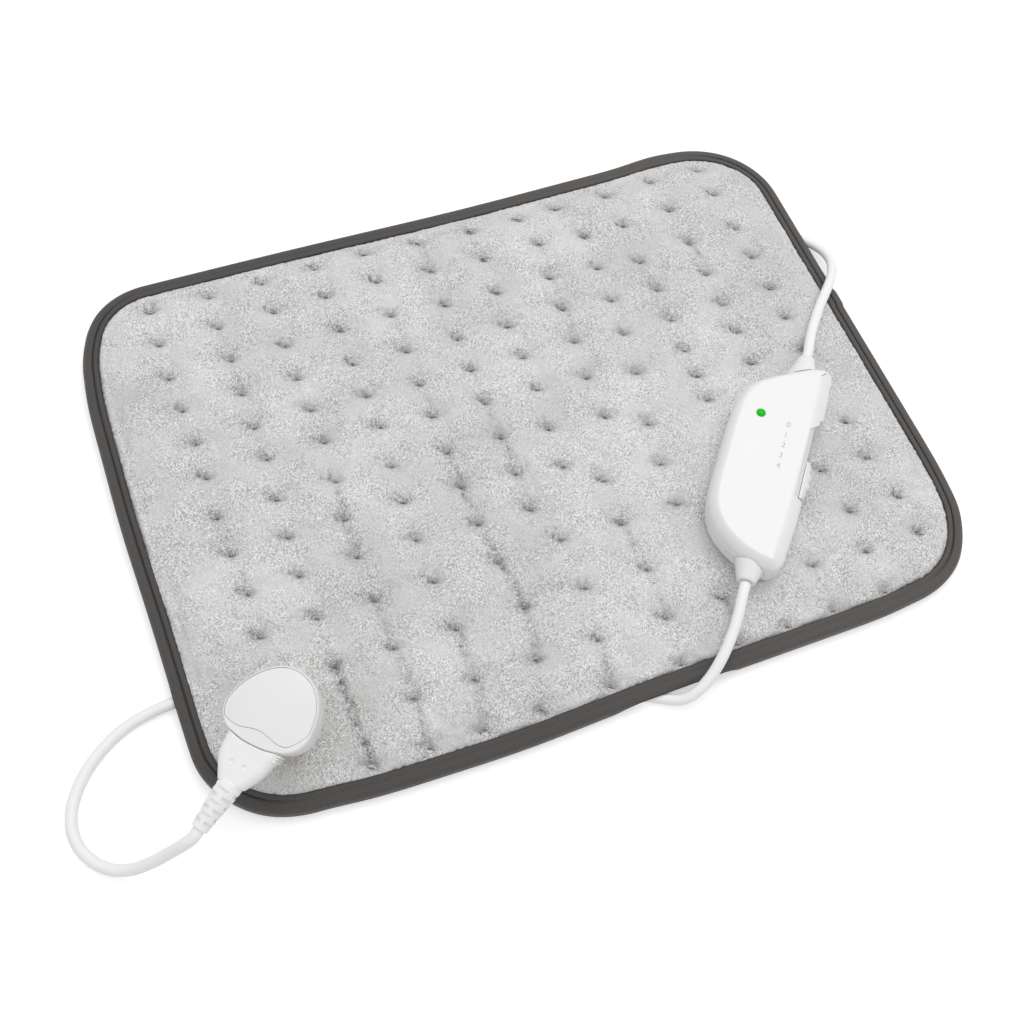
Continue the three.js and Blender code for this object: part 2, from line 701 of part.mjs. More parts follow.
const controllerOutline = smoothOutline(
  controllerOutlineShares.map(([u, v]) => [u * controller.length, v * controller.width]),
  controllerOutlineSteps,
);
const straightWallV = controller.width * Math.min(...controllerOutlineShares.map(([, v]) => v));
const recessV = straightWallV + slider.recessDepth;
const bushAxis = controller.partingHeight + touchGap / 2;
const placedEnd = ({ side, ringInset, mouthReach, v }) =>
  ({ side, ringU: controller.length / 2 - ringInset, mouthU: controller.length / 2 + mouthReach, v });
const mainsEnd = placedEnd(bushEnds.mains);
const leadEnd = placedEnd(bushEnds.lead);
// The inner face of each terminal block, as a distance from the middle of the case.
const terminalFace = ({ ringU }) => ringU - terminal.ringGap - terminal.length;
// The slide runs up to the lead's terminal block, with a screw boss between the two.
const restU = terminalFace(leadEnd) - slider.leadRoom - switchBody.overhang - slider.stemLength / 2 - slider.travel;
const recessStart = restU - slider.knobLength / 2 - slider.endRoom;
const recessEnd = restU + slider.knobLength / 2 + slider.travel + slider.endRoom;
const stemZ = slider.knobFloor + slider.knobHeight / 2;
const boardTop = board.floor + board.thickness;
const componentFloor = boardTop + touchGap;
const heightUnder = (topGap) => controller.height - controller.wall - topGap - componentFloor;
const heatSinkU = triac.length / 2 + triac.endGap - terminalFace(mainsEnd);
const lensStemFloor = controller.height - lens.stemDrop;
const screwSpots = [
  ...shellScrewShares.map(([u, v]) => [u * controller.length, v * controller.width]),
  [terminalFace(leadEnd) - slider.leadRoom / 2, sliderScrewShare * controller.width],
];

function caseRings(profile, floor, height, inward, lift) {
  return profile.map(([insetShare, heightShare]) => atHeight(
    insetOutline(controllerOutline, insetShare * controller.edgeInset + inward),
    floor + heightShare * height + lift,
  ));
}

function shellBody(isTop, inward, lift) {
  const profile = isTop ? topProfileShares : bottomProfileShares;
  const floor = isTop ? controller.partingHeight + touchGap : 0;
  const height = isTop ? controller.height - floor : controller.partingHeight;
  return caseRings(profile, floor, height, inward, lift);
}

// The cavity runs past the parting face, so that the shell is open there.
function shellCavity(isTop) {
  const rings = shellBody(isTop, controller.wall, isTop ? -controller.wall : controller.wall);
  const mouth = isTop ? rings[0] : rings.at(-1);
  const past = mouth.map((point) => point.clone().setZ(point.z + (isTop ? -cutOverrun : cutOverrun)));
  return loft(isTop ? [past, ...rings] : [...rings, past]);
}

function recessWall() {
  const length = recessEnd - recessStart + 2 * controller.wall;
  const outer = straightWallV - cutOverrun;
  const inner = recessV + slider.ledgeWall;
  const floor = slider.recessFloor - slider.ledgeWall;
  const middleU = (recessStart + recessEnd) / 2;
  return boxOnFloor(length, inner - outer, controller.height, middleU, (inner + outer) / 2, floor);
}

function recessCut() {
  const outer = straightWallV - 2 * cutOverrun;
  const middleU = (recessStart + recessEnd) / 2;
  return boxOnFloor(
    recessEnd - recessStart, recessV - outer, controller.height, middleU, (recessV + outer) / 2, slider.recessFloor,
  );
}

function stemSlot() {
  const length = slider.travel + slider.stemLength + 2 * slider.endRoom;
  const reach = slider.ledgeWall + 2 * cutOverrun;
  const middleU = restU + slider.travel / 2;
  return box(length, reach, slider.stemHeight + 2 * touchGap, middleU, recessV + slider.ledgeWall / 2, stemZ);
}

function bushBore({ side, ringU, v }) {
  const reach = controller.length / 4;
  return post(bush.neckRadius + touchGap, reach, 0, 0, -reach / 2, bush.sides)
    .rotateY(Math.PI / 2)
    .translate(side * (ringU + reach / 2), v, bushAxis);
}

function bottomShell() {
  const outer = loft(shellBody(false, 0, 0));
  const boreRadius = shellScrew.shaftRadius + touchGap;
  const sinkDepth = shellScrew.recess + shellScrew.headHeight + touchGap;
  const bosses = screwSpots.map(([u, v]) =>
    post(shellScrew.bossRadius, controller.partingHeight - touchGap, u, v, touchGap));
  const tools = screwSpots.flatMap(([u, v]) => [
    post(boreRadius, controller.height, u, v, -cutOverrun),
    post(shellScrew.headRadius + touchGap, sinkDepth + cutOverrun, u, v, -cutOverrun),
  ]);
  const wallBlock = keepInside(recessWall(), outer);
  return cut(
    join(cut(outer, shellCavity(false)), wallBlock, ...bosses),
    ...tools, recessCut(), stemSlot(),
    bushBore(mainsEnd), bushBore(leadEnd),
  );
}

function topShell() {
  const outer = loft(shellBody(true, 0, 0));
  const bossFloor = controller.partingHeight + touchGap;
  const bosses = screwSpots.map(([u, v]) =>
    post(shellScrew.bossRadius, controller.height - controller.wall / 2 - bossFloor, u, v, bossFloor));
  const pilotTop = shellScrew.recess + shellScrew.length + 2 * touchGap;
  const tools = screwSpots.map(([u, v]) => post(shellScrew.shaftRadius + touchGap, pilotTop, u, v, 0));
  const lensHole = post(lens.radius + touchGap, controller.wall + 2 * cutOverrun, lens.u, lens.v,
    controller.height - controller.wall - cutOverrun);
  const insideBlocks = [recessWall(), ...bosses].map((block) => keepInside(block, outer));
  return cut(
    join(cut(outer, shellCavity(true)), ...insideBlocks),
    ...tools, recessCut(), stemSlot(), lensHole,
    bushBore(mainsEnd), bushBore(leadEnd),
  );
}

// A conical bush: its cone sits on the case's end wall, its ring behind that wall.
function strainBush({ side, ringU, mouthU, v }) {
  const coneStart = controller.length / 2 - bush.seatDepth;
  const lip = mouthU - bush.mouthLip;
  const cone = turned([
    [0, coneStart], [bush.flangeRadius, coneStart], [bush.flangeRadius, coneStart + bush.seatDepth],
    [bush.mouthRadius + touchGap, lip], [bush.mouthRadius, mouthU], [0, mouthU],
  ], bush.sides);
  const neck = turned([[0, ringU], [bush.neckRadius, ringU], [bush.neckRadius, lip], [0, lip]], bush.sides);
  const ringEnd = ringU + bush.ringLength;
  const ring = turned([[0, ringU], [bush.ringRadius, ringU], [bush.ringRadius, ringEnd], [0, ringEnd]], bush.sides);
  const place = (geometry) => alongX(geometry)
    .rotateZ(side > 0 ? 0 : Math.PI)
    .translate(0, v, bushAxis);
  const caseBlock = loft([...shellBody(false, -touchGap, -touchGap), ...shellBody(true, -touchGap, touchGap)]);
  return join(cut(place(cone), caseBlock), place(neck), place(ring));
}

function slideKnob() {
  const half = slider.knobLength / 2;
  const inner = recessV - touchGap;
  const crest = straightWallV - slider.knobProud;
  const shoulder = straightWallV + slider.ribDepth;
  const face = new THREE.Shape();
  face.moveTo(-half, inner);
  face.lineTo(half, inner);
  face.lineTo(half, shoulder);
  const steps = slider.knobRibs * 4;
  for (let step = 1; step < steps; step += 1) {
    const along = half - (step / steps) * slider.knobLength;
    const bow = Math.cos((along / half) * Math.PI / 2);
    const groove = step % 4 < 2 ? slider.ribDepth * bow : 0;
    face.lineTo(along, shoulder + (crest - shoulder) * bow + groove);
  }
  face.lineTo(-half, shoulder);
  face.closePath();
  const cap = new THREE.ExtrudeGeometry(face, { depth: slider.knobHeight, bevelEnabled: false })
    .translate(restU, 0, slider.knobFloor);
  const stemRoot = inner - touchGap;
  const stemTip = inner + slider.stemReach;
  const stem = box(slider.stemLength, stemTip - stemRoot, slider.stemHeight, restU, (stemTip + stemRoot) / 2, stemZ);
  return join(cap, stem);
}

function slideSwitch() {
  const inner = recessV + slider.ledgeWall + touchGap;
  const length = slider.travel + slider.stemLength + 2 * switchBody.overhang;
  const middleU = restU + slider.travel / 2;
  const height = heightUnder(switchBody.topGap);
  const body = boxOnFloor(length, switchBody.depth, height, middleU, inner + switchBody.depth / 2, componentFloor);
  const grooveLength = slider.travel + slider.stemLength + 2 * slider.endRoom;
  const grooveDepth = slider.stemReach - slider.ledgeWall + cutOverrun;
  const groove = box(grooveLength, grooveDepth, slider.stemHeight + 2 * touchGap, middleU,
    inner - cutOverrun + grooveDepth / 2, stemZ);
  return cut(body, groove);
}

function controlBoard() {
  const outline = insetOutline(controllerOutline, board.inset);
  const sheet = loft([board.floor, boardTop].map((height) => atHeight(outline, height)));
  const holes = screwSpots.map(([u, v]) =>
    post(shellScrew.bossRadius + touchGap, board.thickness + 2 * cutOverrun, u, v, board.floor - cutOverrun));
  const edge = recessV + slider.ledgeWall + touchGap;
  const notch = box(controller.length, controller.width, controller.height, 0, edge - controller.width / 2, boardTop);
  const ends = [mainsEnd, leadEnd].map(({ side, ringU, v }) =>
    box(controller.length, 2 * bush.ringRadius + 2 * touchGap, controller.height,
      side * (ringU - touchGap + controller.length / 2), v, boardTop));
  return cut(sheet, ...holes, notch, ...ends);
}

function shellScrewBody([u, v]) {
  const { headRadius, headHeight, shaftRadius, length, recess } = shellScrew;
  const head = post(headRadius, headHeight, u, v, recess);
  const shaft = post(shaftRadius, length - headHeight / 2, u, v, recess + headHeight / 2);
  const slotWidth = shaftRadius / 2;
  const drive = [[headRadius, slotWidth], [slotWidth, headRadius]].map(([sizeU, sizeV]) =>
    box(sizeU, sizeV, headHeight, u, v, recess));
  return cut(join(head, shaft), ...drive);
}

function lensBody() {
  const top = controller.height;
  const underside = top - controller.wall - touchGap;
  return alongZ(turned([
    [0, lensStemFloor], [indicator.radius, lensStemFloor], [indicator.radius, underside - lens.flangeHeight],
    [lens.flangeRadius, underside - lens.flangeHeight], [lens.flangeRadius, underside], [lens.radius, underside],
    ...lensDomeShares.map(([across, rise]) => [across * lens.radius, top + rise * lens.proud]),
  ])).translate(lens.u, lens.v, 0);
}

function indicatorBody() {
  const base = componentFloor;
  const tip = lensStemFloor - touchGap;
  return alongZ(turned([
    [0, base], [indicator.rimRadius, base], [indicator.rimRadius, base + indicator.rimHeight],
    [indicator.radius, base + indicator.rimHeight], [indicator.radius, tip - indicator.radius / 2],
    [indicator.radius / 2, tip], [0, tip],
  ])).translate(lens.u, lens.v, 0);
}

function heatSinkBody() {
  const { length, width, topGap, v, finDepth, finPitch } = heatSink;
  const body = boxOnFloor(length, width, heightUnder(topGap), heatSinkU, v, componentFloor);
  const grooves = [];
  for (let along = heatSinkU - length / 2 + finPitch; along < heatSinkU + length / 2; along += finPitch) {
    grooves.push(box(finPitch / 2, finDepth, 2 * controller.height, along, v + width / 2, componentFloor));
  }
  return cut(body, ...grooves);
}

function terminalBlock({ side, ringU, v }) {
  const middle = side * (terminalFace({ ringU }) + terminal.length / 2);
  const body = boxOnFloor(terminal.length, terminal.width, terminal.height, middle, v, componentFloor);
  const slotFloor = componentFloor + terminal.height - terminal.slotDepth;
  const slots = [-1, 1].map((hand) =>
    boxOnFloor(terminal.slotWidth, terminal.slotWidth, terminal.height, middle, v + hand * wire.fan / 2, slotFloor));
  return cut(body, ...slots);
}

function innerWire({ side, ringU, v }, hand) {
  const from = ringU - wire.endGap;
  const to = ringU - terminal.ringGap + wire.endGap;
  const route = wireShares.map((share) => {
    const spread = THREE.MathUtils.lerp(wire.spacing, wire.fan, THREE.MathUtils.smoothstep(share, 0, 1)) / 2;
    const height = THREE.MathUtils.lerp(bushAxis, componentFloor + terminal.height / 2, share);
    return new THREE.Vector3(side * THREE.MathUtils.lerp(from, to, share), v + hand * spread, height);
  });
  return tube(route, wire.diameter / 2, wire.sides);
}

function addController(parent) {
  const frame = new THREE.Group();
  frame.position.set(controller.centreX, controller.centreY, padCrown + touchGap);
  frame.rotation.z = degrees(controller.turn);
  parent.add(frame);
  addPiece(frame, 'controller_bottom_shell', bottomShell(), finishes.whiteCase);
  addPiece(frame, 'controller_top_shell', topShell(), finishes.whiteCase);
  addPiece(frame, 'slide_knob', slideKnob(), finishes.knob);
  addPiece(frame, 'slide_switch', slideSwitch(), finishes.blackPlastic);
  addPiece(frame, 'control_board', controlBoard(), finishes.board);
  addPiece(frame, 'indicator_lens', lensBody(), finishes.lens);
  addPiece(frame, 'indicator_led', indicatorBody(), finishes.lens);
  addPiece(frame, 'heat_sink', heatSinkBody(), finishes.aluminium);
  const triacV = heatSink.v - heatSink.width / 2 - touchGap - triac.width / 2;
  const triacHeight = heightUnder(triac.topGap);
  const triacBody = boxOnFloor(triac.length, triac.width, triacHeight, heatSinkU, triacV, componentFloor);
  addPiece(frame, 'triac', triacBody, finishes.blackPlastic);
  const { length, width, topGap, u, fromBack } = capacitor;
  const capacitorV = controller.width / 2 - fromBack;
  const capacitorBody = boxOnFloor(length, width, heightUnder(topGap), u, capacitorV, componentFloor);
  addPiece(frame, 'filter_capacitor', capacitorBody, finishes.blueFilm);
  const lyingTube = (part, along, across) => alongX(turned([
    [0, -part.length / 2], [part.radius, -part.length / 2], [part.radius, part.length / 2], [0, part.length / 2],
  ])).translate(along, across, componentFloor + part.radius);
  const fuseTube = lyingTube(boardFuse, boardFuse.u, controller.width / 2 - boardFuse.fromBack);
  addPiece(frame, 'board_fuse', fuseTube, finishes.glassFuse);
  addPiece(frame, 'sense_resistor', lyingTube(resistor, resistor.u, resistor.v), finishes.ceramic);
  screwSpots.forEach((spot, index) =>
    addPiece(frame, `shell_screw_${index + 1}`, shellScrewBody(spot), finishes.steel));
  for (const [name, end] of [['mains', mainsEnd], ['lead', leadEnd]]) {
    addPiece(frame, `controller_${name}_bush`, strainBush(end), finishes.whiteCord);
    addPiece(frame, `${name}_terminal`, terminalBlock(end), finishes.greenTerminal);
    addPiece(frame, `${name}_brown_wire`, innerWire(end, 1), finishes.brownWire);
    addPiece(frame, `${name}_blue_wire`, innerWire(end, -1), finishes.blueWire);
  }
}

// The plug.

const lineTipC = -plug.height - pinSize.lineLength;
const earthTipC = -plug.height - pinSize.earthLength;
const earthA = pinSize.lineA + pinSize.spacing;
const lineHeelA = pinSize.lineA - pinSize.lineThickness / 2;
const earthHeelA = earthA - pinSize.earthThickness / 2;
// The plug stands on the heels of its pins, so the longer earth pin tips its cord side down.
const plugTilt = Math.atan((lineTipC - earthTipC) / (earthHeelA - lineHeelA));
const plugLift = padCrown + touchGap - lineHeelA * Math.sin(plugTilt) - lineTipC * Math.cos(plugTilt);
const headStart = pinSize.lineA - plug.cordMargin;
const farEdge = earthA + plug.farMargin;
const headLength = farEdge - headStart;
const headWidth = pinSize.spacing + pinSize.lineWidth + 2 * plug.sideMargin;
const lidSeam = headStart + plug.crescentWidth;
const collarStart = headStart - touchGap;
const neckStart = collarStart - cablePlug.collarLength;
const neckEnd = neckStart - cablePlug.neckLength;
const bodyEnd = headStart + cablePlug.bodyReach;
const roundPinSpacing = cablePlug.bodyWidth - 2 * cablePlug.pinInset;
// The fuse lies halfway between the line pins and the earth pin.
const fuseCarrierA = (pinSize.lineA + pinSize.lineThickness / 2 + earthHeelA) / 2;
const headOutline = smoothOutline(
  [1, -1].flatMap((hand) => {
    const half = plugOutlineShares.map(([along, across]) =>
      [headStart + along * headLength, hand * across * headWidth / 2]);
    return hand > 0 ? half : half.reverse();
  }),
  plug.outlineSteps,
);
const lidUnderside = -plug.lidHeight;
const cavityFloor = plug.wall - plug.height;

const headRings = (pairs) => pairs.map(([inset, height]) => atHeight(insetOutline(headOutline, inset), height));

function headBlock() {
  const side = headSideShares.map(([inset, depth]) => [inset * plug.drawIn, -depth * plug.height]);
  const top = headTopShares.map(([inset, depth]) => [inset * plug.topRound, -depth * plug.height]);
  return loft(headRings([...side, ...top]));
}

// A prism over the part of the head beyond the lid's wavy seam, or on its cord side.
function seamPrism(isLidSide, room, floor, roof) {
  const edge = [];
  for (let step = 0; step <= plug.seamSteps; step += 1) {
    const across = (2 * step / plug.seamSteps - 1) * (headWidth / 2 + cutOverrun);
    const swing = plug.seamSwing * Math.cos((across / headWidth) * 4 * Math.PI);
    edge.push(new THREE.Vector2(lidSeam + swing + room, across));
  }
  const farA = (isLidSide ? 1 : -1) * headLength;
  const outline = [...edge, new THREE.Vector2(farA, edge.at(-1).y), new THREE.Vector2(farA, edge[0].y)];
  return new THREE.ExtrudeGeometry(new THREE.Shape(outline), { depth: roof - floor, bevelEnabled: false })
    .translate(0, 0, floor);
}

function headCavity(top) {
  const { drawIn, wall, wallHeight } = plug;
  return loft(headRings([[drawIn + wall, cavityFloor], [wall, wall - wallHeight], [wall, top]]));
}

const carrierLength = fuse.length + 2 * (fuseCarrier.wall + touchGap);
const carrierWidth = 2 * (fuse.radius + touchGap + fuseCarrier.wall);
const lidScrewA = fuseCarrierA + carrierWidth / 2 + lidScrew.carrierGap + lidScrew.bossRadius;
const lidScrewSpots = [-1, 1].map((hand) => [lidScrewA, hand * lidScrew.b]);
const screwSeatC = cavityFloor + lidScrew.seat;

function plugLid() {
  const skin = keepInside(headBlock(), seamPrism(true, touchGap / 2, lidUnderside, cutOverrun));
  const bossFloor = screwSeatC + touchGap;
  const bosses = lidScrewSpots.map(([a, b]) =>
    post(lidScrew.bossRadius, -plug.wall / 2 - bossFloor, a, b, bossFloor));
  const pilots = lidScrewSpots.map(([a, b]) =>
    post(lidScrew.shaftRadius + touchGap, lidScrew.length, a, b, -plug.height));
  return cut(join(cut(skin, headCavity(-plug.wall)), ...bosses), ...pilots);
}

// Each pin passes the floor of the base and spreads into a flange above it.
function pinRoom(width, thickness, a, b) {
  const room = 2 * touchGap;
  const flangeRoom = room + 2 * pinSize.flangeReach;
  return [
    boxOnFloor(thickness + room, width + room, plug.height / 2, a, b, -plug.height - cutOverrun),
    boxOnFloor(thickness + flangeRoom, width + room, plug.height / 2, a, b, cavityFloor),
  ];
}

function plugBase() {
  const lower = seamPrism(true, -touchGap / 2, lidUnderside - touchGap, cutOverrun);
  const crescentTop = seamPrism(false, cutOverrun, -plug.crescentDrop, cutOverrun);
  const block = cut(headBlock(), lower, crescentTop);
  const seats = lidScrewSpots.map(([a, b]) => {
    const seat = post(lidScrew.bossRadius + plug.wall / 2, lidScrew.seat + plug.wall, a, b, -plug.height);
    return keepInside(seat, headBlock());
  });
  const sinks = lidScrewSpots.flatMap(([a, b]) => [
    post(lidScrew.headRadius + touchGap, plug.wall + cutOverrun, a, b, -plug.height - cutOverrun),
    post(lidScrew.shaftRadius + touchGap, plug.height, a, b, -plug.height - cutOverrun),
    post(lidScrew.bossRadius + touchGap, plug.height, a, b, screwSeatC),
  ]);
  const mouthWidth = cablePlug.bodyWidth + 2 * touchGap;
  const mouthHeight = cablePlug.bodyHeight + 2 * touchGap;
  const mouth = box(headLength / 2, mouthWidth, mouthHeight, headStart, cablePlug.middleB, -cablePlug.axisDrop);
  return cut(
    join(cut(block, headCavity(-plug.cavityTop)), ...seats),
    ...sinks, mouth,
    ...pinRoom(pinSize.lineWidth, pinSize.lineThickness, pinSize.lineA, pinSize.spacing / 2),
    ...pinRoom(pinSize.lineWidth, pinSize.lineThickness, pinSize.lineA, -pinSize.spacing / 2),
    ...pinRoom(pinSize.earthWidth, pinSize.earthThickness, earthA, 0),
    boxOnFloor(carrierWidth + 2 * touchGap, carrierLength + 2 * touchGap, plug.height / 2, fuseCarrierA, 0,
      -plug.height - cutOverrun),
  );
}

function bladePin(width, thickness, tip, a, b) {
  const { chamfer, root, flangeReach, flangeHeight } = pinSize;
  const rectangle = (trim, height) => [[1, 1], [-1, 1], [-1, -1], [1, -1]].map(([signA, signB]) =>
    new THREE.Vector3(a + signA * (thickness / 2 - trim), b + signB * (width / 2 - trim), height));
  const blade = loft([rectangle(chamfer, tip), rectangle(0, tip + chamfer), rectangle(0, cavityFloor + root)]);
  const flange = boxOnFloor(thickness + 2 * flangeReach, width, flangeHeight, a, b, cavityFloor + touchGap);
  return join(blade, flange);
}

function cablePlugBody() {
  const { bodyWidth, bodyHeight, middleB, collarWidth, collarHeight } = cablePlug;
  const section = (a, width, height, middle = middleB) =>
    roundedRectangle(width, height, cablePlug.roundness, 2)
      .map((point) => new THREE.Vector3(a, point.x + middle, point.y - cablePlug.axisDrop));
  const neck = neckShares.map(([along, width, height, move]) => section(
    THREE.MathUtils.lerp(neckStart, neckEnd, along), width * collarWidth, height * collarHeight,
    THREE.MathUtils.lerp(middleB, plugRelief.middleB, move),
  ));
  const body = loft([
    section(bodyEnd, bodyWidth, bodyHeight), section(collarStart, bodyWidth, bodyHeight),
    section(collarStart, collarWidth, collarHeight), section(neckStart, collarWidth, collarHeight), ...neck,
  ]);
  const boreRadius = cablePlug.pinRadius + touchGap;
  const boreFloor = bodyEnd - cablePlug.pinRoot - touchGap;
  const bores = [-1, 1].map((hand) => alongX(turned([
    [0, boreFloor], [boreRadius, boreFloor], [boreRadius, bodyEnd + cutOverrun], [0, bodyEnd + cutOverrun],
  ])).translate(0, middleB + hand * roundPinSpacing / 2, -cablePlug.axisDrop));
  return cut(body, ...bores);
}

function roundPin(hand) {
  const { pinRoot, pinLength, pinRadius, axisDrop, middleB } = cablePlug;
  const tip = bodyEnd + pinLength;
  return alongX(turned([
    [0, bodyEnd - pinRoot], [pinRadius, bodyEnd - pinRoot], [pinRadius, tip - pinRadius / 2],
    [pinRadius / 2, tip], [0, tip],
  ])).translate(0, middleB + hand * roundPinSpacing / 2, -axisDrop);
}

function contactClipBody(hand) {
  const { length, size, endGap, legLength, legWidth } = contactClip;
  const a = bodyEnd + endGap + length / 2;
  const b = cablePlug.middleB + hand * roundPinSpacing / 2;
  const legB = (b + hand * pinSize.spacing / 2) / 2;
  const sleeve = box(length, size, size, a, b, -cablePlug.axisDrop);
  const legFloor = cavityFloor + pinSize.root + touchGap;
  const legTop = -cablePlug.axisDrop - size / 2 + touchGap;
  const leg = boxOnFloor(legLength, legWidth, legTop - legFloor, a - length / 2 + legLength / 2, legB, legFloor);
  const bore = post(cablePlug.pinRadius + touchGap, 2 * length, 0, 0, -length)
    .rotateY(Math.PI / 2)
    .translate(a, b, -cablePlug.axisDrop);
  return cut(join(sleeve, leg), bore);
}

function fuseCarrierBody() {
  const body = boxOnFloor(carrierWidth, carrierLength, fuseCarrier.height, fuseCarrierA, 0, -plug.height);
  const cradle = boxOnFloor(carrierWidth - 2 * fuseCarrier.wall, carrierLength - 2 * fuseCarrier.wall,
    fuseCarrier.height, fuseCarrierA, 0, fuseCarrier.faceHeight - plug.height);
  return cut(body, cradle);
}

function fuseBody() {
  const axisC = -plug.height + fuseCarrier.faceHeight + touchGap + fuse.radius;
  return turned([
    [0, -fuse.length / 2], [fuse.radius, -fuse.length / 2], [fuse.radius, fuse.length / 2], [0, fuse.length / 2],
  ]).translate(fuseCarrierA, 0, axisC);
}

function lidScrewBody([a, b]) {
  const { headRadius, headHeight, shaftRadius, length } = lidScrew;
  const headFloor = cavityFloor - touchGap - headHeight;
  const head = post(headRadius, headHeight, a, b, headFloor);
  const shaft = post(shaftRadius, length - plug.wall - touchGap, a, b, headFloor + headHeight / 2);
  const slot = box(2 * headRadius + cutOverrun, shaftRadius / 2, headHeight, a, b, headFloor);
  return cut(join(head, shaft), slot);
}

// The strain relief's rings stand apart, so that it bends with the cord.
function plugReliefBody() {
  const { length, startRadius, endRadius, grooves, grooveDepth, turn, sides } = plugRelief;
  const radiusAt = (share) => THREE.MathUtils.lerp(startRadius, endRadius, share);
  const profile = [[0, 0], [startRadius, 0]];
  for (let groove = 0; groove < grooves; groove += 1) {
    const [first, last] = grooveShares.map((share) => (groove + share) / grooves);
    profile.push([radiusAt(first), first], [radiusAt(first) - grooveDepth, first]);
    profile.push([radiusAt(last) - grooveDepth, last], [radiusAt(last), last]);
  }
  profile.push([endRadius, 1], [0, 1]);
  const rings = turned(profile.map(([radius, share]) => [radius, share * length]), sides)
    .rotateZ(Math.PI / 2)
    .rotateZ(degrees(turn))
    .translate(neckEnd + touchGap, plugRelief.middleB, -cablePlug.axisDrop);
  const blockMiddle = neckEnd - touchGap + headLength / 2;
  const neckBlock = box(headLength, headWidth, headWidth, blockMiddle, 0, -cablePlug.axisDrop);
  return cut(rings, neckBlock);
}

function addPlug(parent) {
  const stand = new THREE.Group();
  stand.position.set(plug.centreX, plug.centreY, plugLift);
  stand.rotation.z = degrees(plug.turn);
  parent.add(stand);
  const frame = new THREE.Group();
  frame.rotation.y = -plugTilt;
  stand.add(frame);
  const half = pinSize.spacing / 2;
  const linePin = (b) => bladePin(pinSize.lineWidth, pinSize.lineThickness, lineTipC, pinSize.lineA, b);
  addPiece(frame, 'plug_base', plugBase(), finishes.whiteCase);
  addPiece(frame, 'plug_lid', plugLid(), finishes.whiteCase);
  addPiece(frame, 'plug_live_pin', linePin(-half), finishes.brass);
  addPiece(frame, 'plug_neutral_pin', linePin(half), finishes.brass);
  const earthPin = bladePin(pinSize.earthWidth, pinSize.earthThickness, earthTipC, earthA, 0);
  addPiece(frame, 'plug_earth_pin', earthPin, finishes.brass);
  addPiece(frame, 'fuse_carrier', fuseCarrierBody(), finishes.knob);
  addPiece(frame, 'plug_fuse', fuseBody(), finishes.ceramic);
  addPiece(frame, 'cable_plug', cablePlugBody(), finishes.whiteCord);
  [['left', 1], ['right', -1]].forEach(([name, hand], index) => {
    addPiece(frame, `cable_plug_${name}_pin`, roundPin(hand), finishes.steel);
    addPiece(frame, `${name}_contact_clip`, contactClipBody(hand), finishes.brass);
    addPiece(frame, `lid_screw_${name}`, lidScrewBody(lidScrewSpots[index]), finishes.steel);
  });
  addPiece(frame, 'plug_strain_relief', plugReliefBody(), finishes.whiteCord);
}

addPad(product);
addCords(product);
addController(product);
addPlug(product);

export default product;
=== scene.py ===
import json
import math

import bmesh
import bpy
from mathutils import Matrix, Vector, kdtree, noise

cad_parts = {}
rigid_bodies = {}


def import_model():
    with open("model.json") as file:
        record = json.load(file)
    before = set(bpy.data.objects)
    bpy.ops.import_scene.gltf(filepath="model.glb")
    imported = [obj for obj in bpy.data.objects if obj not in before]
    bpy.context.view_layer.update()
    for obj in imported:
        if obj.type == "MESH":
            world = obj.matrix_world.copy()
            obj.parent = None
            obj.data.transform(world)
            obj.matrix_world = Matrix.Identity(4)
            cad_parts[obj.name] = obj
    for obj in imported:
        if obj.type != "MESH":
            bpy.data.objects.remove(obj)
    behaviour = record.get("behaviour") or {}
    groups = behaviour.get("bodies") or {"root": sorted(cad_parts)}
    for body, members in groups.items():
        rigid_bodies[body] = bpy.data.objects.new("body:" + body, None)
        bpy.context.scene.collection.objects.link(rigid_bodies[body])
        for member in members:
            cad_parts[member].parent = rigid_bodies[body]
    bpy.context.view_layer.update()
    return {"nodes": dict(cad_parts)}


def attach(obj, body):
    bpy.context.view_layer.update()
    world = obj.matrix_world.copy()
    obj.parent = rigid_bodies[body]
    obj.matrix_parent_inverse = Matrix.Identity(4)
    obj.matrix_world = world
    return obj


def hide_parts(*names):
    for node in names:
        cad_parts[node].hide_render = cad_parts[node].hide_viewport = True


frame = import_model()

bl_info = {
    "name": "Heating Pad With Controller",
    "version": (1, 0, 0),
    "blender": (4, 5, 0),
    "location": "3D View > Sidebar > Heating Pad",
    "description": "Builds a tufted fleece heating pad, its slide controller, its leads and its mains plug",
    "category": "Object",
}

MM = 0.001

# Where the camera stands, and which way its picture's right and up point.
CAMERA_PLACE = (-0.18092, -0.30696, 0.59082)
CAMERA_RIGHT = Vector((0.92663, -0.36602, 0.08598))
CAMERA_UP = Vector((0.28771, 0.83751, 0.46453))
KEY_PLACE, KEY_WIDTH = (0.45, 0.35, 1.35), 1.0
FLOOR_GLOW = 0.42

